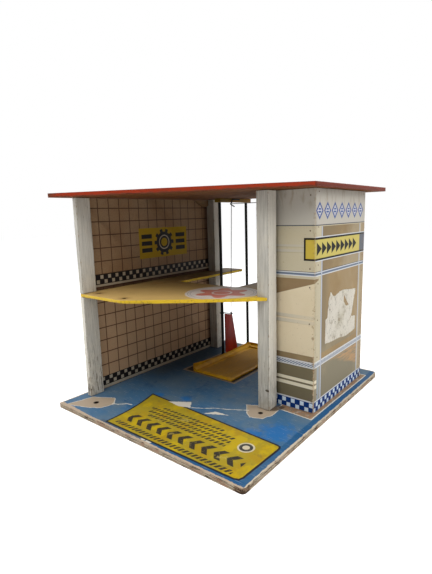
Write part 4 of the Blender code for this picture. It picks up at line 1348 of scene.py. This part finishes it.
finishes = {
    "wall": makeWallPrint(),
    "tower": makeTowerPrint(),
    "base": makeBasePrint(),
    "floor": makeFloorPaint(),
    "roof": makeRoofPaint(),
    "uprightWood": makeRawWood("raw_upright_wood", (1.0, 1.0, 0.05)),
    "levelWood": makeRawWood("raw_level_wood", (1.0, 0.05, 1.0)),
    # raw wood darkened to 0.62 as painted shade, for the brace in the wall's back corner
    "shadedWood": makeRawWood("raw_dark_wood", (1.0, 0.08, 1.0), 0.62),
    "deck": makeLiftPaint("worn_deck_paint", "lift_deck", True),
    "knob": makeRedPaint("red_knob_paint", "crank_knob"),
    "plate": makeRedPaint("red_plate_paint", "lift_plate"),
    "black": makeBlackSteel(),
    "bright": makeBrightSteel(),
    "dull": makeDullSteel(),
    "string": makeStringFinish(),
    "paper": makeTornPaper(),
}
print("finishes made:", len(finishes))


def dressNode(nodeName, material):
    item = frame["nodes"][nodeName]
    if not item.material_slots:
        item.data.materials.append(material)
    for slot in item.material_slots:
        slot.material = material


def finishPiece(name, mesh, material, body, replaced=(), smoothAngle=35):
    item = addMesh(name, mesh, material)
    item.data.shade_smooth()
    item.data.set_sharp_from_angle(angle=math.radians(smoothAngle))
    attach(item, body)
    if replaced:
        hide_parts(*replaced)
    return item


def bodyOf(nodeName):
    for body, members in frame["record"]["behaviour"]["bodies"].items():
        if nodeName in members:
            return body
    return None


def joinedCopy(nodeName):
    mesh = bmesh.new()
    mesh.from_mesh(frame["nodes"][nodeName].data)
    bmesh.ops.remove_doubles(mesh, verts=mesh.verts, dist=0.00001)
    return mesh


def smoothNode(nodeName, material):
    # turned and bent pieces, with their flat faces whole and their facets smoothed
    mesh = joinedCopy(nodeName)
    bmesh.ops.dissolve_limit(mesh, angle_limit=math.radians(0.5), verts=mesh.verts, edges=mesh.edges)
    finishPiece("smooth_" + nodeName, mesh, material, bodyOf(nodeName), [nodeName])


# Boards and posts get edges that are knocked and rounded by use. Each piece has the depth of its deepest
# knock in millimetres, and a number that shifts its pattern
knocks = {
    "step": 2.2,
    "rim": 0.9,
    "rimShare": 0.22,
    "grain": 0.14,
    "threshold": 0.12,
    "broadFace": 150.0,
    "pieces": {
        "base_board": (0.9, 1),
        "first_floor": (0.9, 2),
        "roof_board": (0.8, 3),
        "wall_panel": (0.5, 4),
        "front_post_lower": (0.9, 10),
        "front_post_upper": (0.9, 11),
        "centre_post": (0.9, 12),
        "back_post": (0.9, 13),
        "tower_front_panel": (0.35, 20),
        "tower_side_panel": (0.35, 21),
        "lift_deck": (0.5, 30),
        "lift_plate": (0.4, 31),
        "lift_side_rim": (0.3, 40),
        "lift_side_fillet": (0.3, 41),
        "lift_end_rim": (0.3, 42),
        "lift_end_stop": (0.3, 43),
    },
}


def broadSides(mesh):
    # the flat sides of a piece, each as the list of its faces
    sides = []
    for face in mesh.faces:
        reach = face.normal.dot(face.verts[0].co)
        for side in sides:
            if face.normal.dot(side["way"]) > 0.9999 and abs(reach - side["reach"]) < 0.00002:
                side["faces"].append(face)
                break
        else:
            sides.append({"way": face.normal.copy(), "reach": reach, "faces": [face]})
    limit = knocks["broadFace"] / 1000000
    return [side["faces"] for side in sides if sum(face.calc_area() for face in side["faces"]) > limit]


def addRims(mesh, nodeName):
    # a narrow rim inside each broad side, cut into short lengths along the piece's arrises
    sides = broadSides(mesh)
    broad = {face for side in sides for face in side}
    narrow = [edge for edge in mesh.edges if not broad.intersection(edge.link_faces)]
    bmesh.ops.dissolve_limit(mesh, angle_limit=math.radians(0.5), verts=[], edges=narrow)
    low, high = boxOf(nodeName)
    least = min(end - start for start, end in zip(low, high))
    width = min(knocks["rim"], least * knocks["rimShare"]) / 1000
    rims = []
    for side in sides:
        made = bmesh.ops.inset_region(mesh, faces=side, thickness=width, use_even_offset=True,
                                      use_boundary=True)
        rims.extend(made["faces"])
    mesh.normal_update()
    cuts = {}
    for face in rims:
        arrises = [
            edge for edge in face.edges
            if min(other.normal.dot(face.normal) for other in edge.link_faces) < 0.99
        ]
        if len(face.edges) != 4 or not arrises:
            continue
        arris = max(arrises, key=lambda edge: edge.calc_length())
        across = [edge for edge in face.edges if not set(edge.verts) & set(arris.verts)]
        count = round(arris.calc_length() * 1000 / knocks["step"]) - 1
        if count > 0:
            cuts.setdefault(count, {}).update(dict.fromkeys([arris, *across]))
    for count, edges in cuts.items():
        bmesh.ops.subdivide_edges(mesh, edges=list(edges), cuts=count, use_grid_fill=False)
    mesh.normal_update()


def wornNode(nodeName, material):
    depth, seed = knocks["pieces"][nodeName]
    mesh = joinedCopy(nodeName)
    mesh.normal_update()
    addRims(mesh, nodeName)
    shift = Vector((seed * 7.3, seed * 3.1, seed * 5.7))
    moves = {}
    for vert in mesh.verts:
        normals = [face.normal for face in vert.link_faces]
        bend = min(first.dot(second) for first in normals for second in normals)
        if bend > 0.97:
            continue
        place = vert.co * 1000
        broad = noise.noise(place * knocks["grain"] * 0.35 + shift)
        fine = noise.noise(place * knocks["grain"] * 2.4 + shift)
        knock = max(0.0, broad + 0.5 * fine - knocks["threshold"])
        inward = sum(normals, Vector()).normalized()
        moves[vert] = inward * (-depth * (knock + 0.08 * (1 + fine)) / 1000)
    for vert, move in moves.items():
        vert.co += move
    finishPiece("worn_" + nodeName, mesh, material, bodyOf(nodeName), [nodeName], 25)


# A laid string of three strands, along a route
stringLay = {"strandRadius": 0.32, "strandOffset": 0.28, "layLength": 2.6, "step": 0.34}


def evenPoints(route, step):
    points = [Vector(point) for point in route]
    lengths = [0.0]
    for first, second in zip(points, points[1:]):
        lengths.append(lengths[-1] + (second - first).length)
    count = max(2, round(lengths[-1] / step))
    even = []
    place = 0
    for index in range(count + 1):
        reach = lengths[-1] * index / count
        while place < len(lengths) - 2 and lengths[place + 1] < reach:
            place += 1
        share = (reach - lengths[place]) / (lengths[place + 1] - lengths[place])
        even.append(points[place].lerp(points[place + 1], share))
    return even


def meshOfCurve(curve):
    drawn = addObject(curve.name, curve)
    bpy.context.view_layer.update()
    seen = drawn.evaluated_get(bpy.context.evaluated_depsgraph_get())
    mesh = bmesh.new()
    mesh.from_mesh(bpy.data.meshes.new_from_object(seen))
    bpy.data.objects.remove(drawn)
    bmesh.ops.remove_doubles(mesh, verts=mesh.verts, dist=0.000001)
    return mesh


def laidString(name, route, body, replaced):
    lay = stringLay
    points = evenPoints(route, lay["step"])
    curve = bpy.data.curves.new(name, "CURVE")
    curve.dimensions = "3D"
    curve.bevel_depth = lay["strandRadius"] / 1000
    curve.bevel_resolution = 1
    curve.use_fill_caps = True
    splines = []
    for strand in range(3):
        spline = curve.splines.new("POLY")
        spline.points.add(len(points) - 1)
        splines.append(spline)
    across = Vector((0.31, 0.55, 0.77))
    for index, point in enumerate(points):
        ahead = points[min(index + 1, len(points) - 1)] - points[max(index - 1, 0)]
        along = ahead.normalized()
        across = (across - along * across.dot(along)).normalized()
        beside = along.cross(across)
        turned = 2 * math.pi * index * lay["step"] / lay["layLength"]
        for strand, spline in enumerate(splines):
            angle = turned + 2 * math.pi * strand / 3
            away = across * math.cos(angle) + beside * math.sin(angle)
            spline.points[index].co = (*spot(*(point + away * lay["strandOffset"])), 1)
    return finishPiece(name, meshOfCurve(curve), finishes["string"], body, replaced, 60)


# The string from the lift's plate over the hook, along under the roof and down to the drum
stringPath = {
    "x": 62.7,
    "y": 305.0,
    "tie": (62.7, 297.6, 74.4),
    "hookHeight": 258.9,
    "runHeight": 261.4,
    "pin": (240.0, 258.1),
    "wrap": 3.3,
    "downTo": 219.8,
    "drumHeight": 215.0,
    "windingRadius": 6.8,
    "turns": 3,
    "pitch": 1.5,
    "rise": 141.0,
    "hitch": {"x": 63.9, "y": 297.9, "z": 73.0, "radius": 1.42, "length": 2.2, "turns": 2.6, "steps": 52},
    "hitchTail": (0.6, -1.2, -3.0),
}


def makeStrings():
    path = stringPath
    x, y = path["x"], path["y"]
    top = (x, y, path["hookHeight"] - 0.3)
    drop = laidString("hanging_string", [path["tie"], top], "garage", ["string_drop"])
    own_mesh(drop)
    run = path["runHeight"]
    route = [(x, y, path["hookHeight"]), (x, y, run - 1.5), (x + 0.4, y, run - 0.5), (x + 1.4, y, run)]
    pinX, pinZ = path["pin"]
    wrap = path["wrap"]
    route.append((pinX, y, run))
    quarter = 10
    for step in range(1, quarter + 1):
        angle = math.pi / 2 * (1 - step / quarter)
        route.append((pinX + wrap * math.cos(angle), y, pinZ + wrap * math.sin(angle)))
    route.append((pinX + wrap, y, path["downTo"]))
    laidString("string_under_roof", route, "garage", ["string_run"])
    radius = path["windingRadius"]
    centre = pinX + wrap - radius
    route = [(centre + radius, y, path["drumHeight"] + 1.0)]
    perTurn = 40
    for step in range(path["turns"] * perTurn + 1):
        angle = 2 * math.pi * step / perTurn
        height = path["drumHeight"] - radius * math.sin(angle)
        route.append((centre + radius * math.cos(angle), y - path["pitch"] * step / perTurn, height))
    laidString("string_on_drum", route, "crank", ["string_winding"])
    # the hitch that ties the string to the guide on the plate
    route = [path["tie"]]
    hitch = path["hitch"]
    radius = hitch["radius"]
    for step in range(hitch["steps"] + 1):
        share = step / hitch["steps"]
        angle = math.radians(140) - 2 * math.pi * hitch["turns"] * share
        along = hitch["y"] - hitch["length"] * share
        route.append((hitch["x"] + radius * math.cos(angle), along, hitch["z"] + radius * math.sin(angle)))
    route.append(tuple(part + move for part, move in zip(route[-1], path["hitchTail"])))
    laidString("string_hitch", route, "lift", [])


makeStrings()
print("strings laid")


# Small fasteners
fasteners = {
    "pinRadius": 0.95,
    "pinRise": 0.28,
    "pinHeights": (18, 66, 112, 156, 178, 222, 262),
    "floorPins": (180.0, 214.0, 248.0, 282.0, 314.0),
    "screwRadius": 2.9,
    "screwNeck": 2.2,
    "screwHeight": 1.9,
    "slotWidth": 0.8,
    "slotDepth": 0.7,
}


def addDome(mesh, place, outward, radius, rise):
    # a flattened dome that stands a little proud of the surface
    turn = Vector((0, 0, 1)).rotation_difference(Vector(outward)).to_matrix().to_4x4()
    shape = Matrix.Diagonal((radius / 1000, radius / 1000, rise / 1000, 1.0))
    placing = Matrix.Translation(spot(*place)) @ turn @ shape
    bmesh.ops.create_uvsphere(mesh, u_segments=16, v_segments=10, radius=1.0, matrix=placing)


def footOf(nodeName):
    # the middle of a node's foot
    low, high = boxOf(nodeName)
    return (low[0] + high[0]) / 2, (low[1] + high[1]) / 2, low[2]


def makePins():
    values = fasteners
    heights = values["pinHeights"]
    tower = bmesh.new()
    low, high = boxOf("tower_front_panel")
    for height in heights:
        for across in (low[0] + 3.0, high[0] - 6.4):
            addDome(tower, (across, low[1], height), (0, -1, 0), values["pinRadius"], values["pinRise"])
    low, high = boxOf("tower_side_panel")
    for height in heights:
        for along in (low[1] + 5.0, high[1] - 6.0):
            addDome(tower, (high[0], along, height + 4), (1, 0, 0), values["pinRadius"], values["pinRise"])
    finishPiece("tower_panel_pins", tower, finishes["dull"], "garage")
    wall = bmesh.new()
    low, high = boxOf("wall_panel")
    for height in heights:
        for along in (low[1] + 6.0, high[1] - 9.0):
            addDome(wall, (low[0], along, height + 2), (-1, 0, 0), values["pinRadius"], values["pinRise"])
    finishPiece("wall_panel_pins", wall, finishes["dull"], "garage")
    floor = bmesh.new()
    top = boxOf("first_floor")[1][2]
    for along in values["floorPins"]:
        addDome(floor, (216.0, along, top), (0, 0, 1), values["pinRadius"] * 1.2, values["pinRise"])
    finishPiece("floor_pins", floor, finishes["dull"], "garage")


def makeScrews():
    # countersunk heads with a slot, seen from below
    values = fasteners
    names = sorted(name for name in frame["nodes"] if name.startswith("base_screw_"))
    for number, nodeName in enumerate(names):
        mesh = bmesh.new()
        height = values["screwHeight"] / 1000
        lift = Matrix.Translation((0, 0, height / 2))
        bmesh.ops.create_cone(
            mesh, cap_ends=True, segments=32, radius1=values["screwRadius"] / 1000,
            radius2=values["screwNeck"] / 1000, depth=height, matrix=lift,
        )
        face = min(mesh.faces, key=lambda item: item.calc_center_median().z)
        bmesh.ops.inset_region(mesh, faces=[face], thickness=0.0004, use_even_offset=True)
        half = values["slotWidth"] / 2000
        for side in (-half, half):
            under = [face for face in mesh.faces if face.calc_center_median().z < 1e-6]
            parts = {}
            for face in under:
                if len(face.verts) > 4:
                    parts.update(dict.fromkeys([face, *face.edges, *face.verts]))
            bmesh.ops.bisect_plane(mesh, geom=list(parts), plane_co=(0, side, 0), plane_no=(0, 1, 0))
        slot = [
            face for face in mesh.faces
            if face.calc_center_median().z < 1e-6
            and all(abs(vert.co.y) <= half + 1e-6 for vert in face.verts)
            and face.calc_area() > 1e-6
        ]
        pushed = bmesh.ops.extrude_face_region(mesh, geom=slot)
        sunk = [item for item in pushed["geom"] if isinstance(item, bmesh.types.BMVert)]
        bmesh.ops.translate(mesh, verts=sunk, vec=(0, 0, values["slotDepth"] / 1000))
        bmesh.ops.delete(mesh, geom=slot, context="FACES")
        turn = Matrix.Rotation(math.radians(37 * number + 11), 4, "Z")
        placing = Matrix.Translation(spot(*footOf(nodeName))) @ turn
        bmesh.ops.transform(mesh, matrix=placing, verts=mesh.verts)
        name = "slotted_" + nodeName
        finishPiece(name, mesh, finishes["bright"], "garage", [nodeName], 30)


def makeRoofNails():
    # round nail heads, slightly domed and sunk in the paint
    for nodeName in sorted(name for name in frame["nodes"] if name.startswith("roof_nail_")):
        low, high = boxOf(nodeName)
        mesh = bmesh.new()
        radius = (high[0] - low[0]) / 2000
        depth = (high[2] - low[2]) / 1000
        lift = Matrix.Translation(spot(*footOf(nodeName)) + Vector((0, 0, depth / 2)))
        bmesh.ops.create_cone(mesh, cap_ends=True, segments=28, radius1=radius, radius2=radius,
                              depth=depth, matrix=lift)
        rim = [
            edge for edge in mesh.edges
            if edge.calc_length() < radius and all(vert.co.z > lift[2][3] for vert in edge.verts)
        ]
        bmesh.ops.bevel(mesh, geom=rim, offset=0.0003, offset_type="OFFSET", segments=3, profile=0.5,
                        affect="EDGES", material=-1)
        finishPiece("domed_" + nodeName, mesh, finishes["bright"], "garage", [nodeName], 40)


makePins()
makeScrews()
makeRoofNails()
print("fasteners made")


# Torn paper left on the tower's side, as y, z
tornPaper = {
    "outline": [
        (198.3, 81.3), (198.6, 112.0), (204.0, 113.0), (207.0, 134.0), (212.5, 145.0), (218.0, 139.5),
        (225.0, 137.0), (233.0, 139.0), (239.8, 141.0), (250.7, 141.5), (256.0, 141.0), (275.0, 139.0),
        (294.4, 137.3), (289.0, 124.0), (285.0, 112.6), (282.0, 103.6), (267.0, 89.6), (281.4, 100.4),
        (294.4, 98.2), (294.4, 79.3), (280.0, 77.5), (262.0, 76.0), (240.0, 79.0), (220.0, 79.5),
    ],
    "tear": [(253.4, 136.0), (260.0, 129.0), (271.0, 117.6), (261.6, 118.5), (253.4, 125.0)],
    "thickness": 0.22,
    "step": 1.6,
    "ragged": 0.9,
    "seed": 7,
}


def makeTornPatch():
    values = tornPaper
    noise.seed_set(values["seed"])
    curve = bpy.data.curves.new("torn_paper_patch", "CURVE")
    curve.dimensions = "2D"
    curve.fill_mode = "BOTH"
    curve.extrude = values["thickness"] / 2000
    for outline in (values["outline"], values["tear"]):
        points = evenPoints([(*point, 0.0) for point in [*outline, outline[0]]], values["step"])[:-1]
        spline = curve.splines.new("POLY")
        spline.points.add(len(points) - 1)
        spline.use_cyclic_u = True
        for item, point in zip(spline.points, points):
            jitter = noise.noise_vector(Vector((point.x, point.y, 0)) * 0.42) * values["ragged"]
            place = spot(0.0, point.x + jitter.x, point.y + jitter.y)
            item.co = (place.y, place.z, 0.0, 1.0)
    mesh = meshOfCurve(curve)
    # the sheet is drawn flat, then stood up against the tower's side
    face = spot(boxOf("tower_side_panel")[1][0] + 0.04, 0.0, 0.0).x
    upright = Matrix(((0, 0, 1, face + curve.extrude), (1, 0, 0, 0), (0, 1, 0, 0), (0, 0, 0, 1)))
    bmesh.ops.transform(mesh, matrix=upright, verts=mesh.verts)
    for vert in mesh.verts:
        if vert.co.x > face + curve.extrude:
            vert.co.x += max(-0.1, noise.noise(vert.co * 90) * 0.12) / 1000
    finishPiece("torn_paper_patch", mesh, finishes["paper"], "garage", (), 30)


makeTornPatch()
print("torn paper laid")


# Boards, posts and the rest
def dressGarage():
    wornNode("base_board", finishes["base"])
    wornNode("first_floor", finishes["floor"])
    wornNode("roof_board", finishes["roof"])
    wornNode("wall_panel", finishes["wall"])
    for nodeName in postPaint["posts"]:
        wornNode(nodeName, makePostPaint(nodeName))
    for nodeName in ("tower_front_panel", "tower_side_panel"):
        wornNode(nodeName, finishes["tower"])
    for nodeName in ("tower_inner_panel", "tower_back_panel"):
        dressNode(nodeName, finishes["uprightWood"])
    for nodeName in frame["nodes"]:
        if nodeName.startswith("tower_batten"):
            dressNode(nodeName, finishes["uprightWood"])
    dressNode("floor_cleat", finishes["levelWood"])
    dressNode("drum_bearing", finishes["levelWood"])
    # the brace gets the darkened raw wood: painted shade
    dressNode("wall_corner_brace", finishes["shadedWood"])
    # the head bar takes the olive ground: painted shade
    dressNode("head_bar", makeLiftPaint("head_bar_paint", "head_bar", ground="olive"))
    smoothNode("winding_drum", finishes["levelWood"])
    for nodeName in ("guide_rod_front", "guide_rod_back", "string_hook", "lift_top_guide",
                     "lift_low_guide_front", "lift_low_guide_back"):
        smoothNode(nodeName, finishes["black"])
    for nodeName in ("string_guide_pin", "crank_shaft", "crank_arm", "crank_nut"):
        smoothNode(nodeName, finishes["bright"])
    smoothNode("crank_knob", finishes["knob"])
    wornNode("lift_deck", finishes["deck"])
    wornNode("lift_plate", finishes["plate"])
    for nodeName in ("lift_side_rim", "lift_side_fillet", "lift_end_rim", "lift_end_stop"):
        wornNode(nodeName, makeLiftPaint(nodeName + "_paint", nodeName))


dressGarage()
print("boards and fittings dressed")


# Studio: a pale floor, a sky that brightens upwards and soft lamps
studio = {
    "horizon": 0.15,
    "zenith": 0.62,
    "floorColour": (235, 235, 235),
    "floorGlow": 0.55,
    "lamps": {
        "soft_front": {"place": (0.2, -1.0, 1.3), "size": 0.8, "power": 8.0},
        "soft_right": {"place": (1.2, 0.3, 1.0), "size": 0.8, "power": 9.0},
        "soft_top": {"place": (0.15, -0.2, 1.5), "size": 1.1, "power": 8.0},
        "low_left": {"place": (-1.35, -0.5, 0.35), "size": 0.35, "power": 6.5},
    },
    "aim": (0.0, 0.0, 0.12),
}


def seenRays(nodes):
    # 1 for rays from the camera, and for mirrored and refracted ones
    rays = nodes.addNode("LightPath").outputs
    seen = nodes.calc("MAXIMUM", rays["Is Camera Ray"], rays["Is Glossy Ray"])
    return nodes.calc("MAXIMUM", seen, rays["Is Transmission Ray"])


def makeStudio():
    world = bpy.data.worlds.new("studio")
    world.use_nodes = True
    bpy.context.scene.world = world
    nodes = NodeTree(world.node_tree)
    direction = nodes.addNode("TexCoord").outputs["Generated"]
    upward = nodes.addNode("SeparateXYZ", [direction]).outputs[2]
    sky = nodes.ramp(upward, -0.1, 0.9, studio["horizon"], studio["zenith"])
    background = world.node_tree.nodes["Background"].inputs
    background["Color"].default_value = (1, 1, 1, 1)
    nodes.feed(background["Strength"], nodes.calc("MAXIMUM", seenRays(nodes), sky))
    material = bpy.data.materials.new("studio_floor")
    material.use_nodes = True
    nodes = NodeTree(material.node_tree)
    shader = material.node_tree.nodes["Principled BSDF"].inputs
    shader["Base Color"].default_value = tint(*studio["floorColour"])
    shader["Roughness"].default_value = 0.9
    shader["Specular IOR Level"].default_value = 0.1
    shader["Emission Color"].default_value = (1, 1, 1, 1)
    nodes.feed(shader["Emission Strength"], nodes.calc("MULTIPLY", seenRays(nodes), studio["floorGlow"]))
    mesh = bmesh.new()
    ground = Matrix.Translation((0, 0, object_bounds()[0][2] - 0.0002))
    bmesh.ops.create_grid(mesh, x_segments=1, y_segments=1, size=6.0, matrix=ground)
    floor = addMesh("studio_floor", mesh, material)
    for name, lamp in studio["lamps"].items():
        light = bpy.data.lights.new(name, "AREA")
        light.shape = "DISK"
        light.size = lamp["size"]
        light.energy = lamp["power"]
        item = addObject(name, light)
        item.location = lamp["place"]
        toward = Vector(studio["aim"]) - Vector(lamp["place"])
        item.rotation_euler = toward.to_track_quat("-Z", "Y").to_euler()
    bpy.context.scene.view_settings.view_transform = "Standard"


makeStudio()
print("studio set")
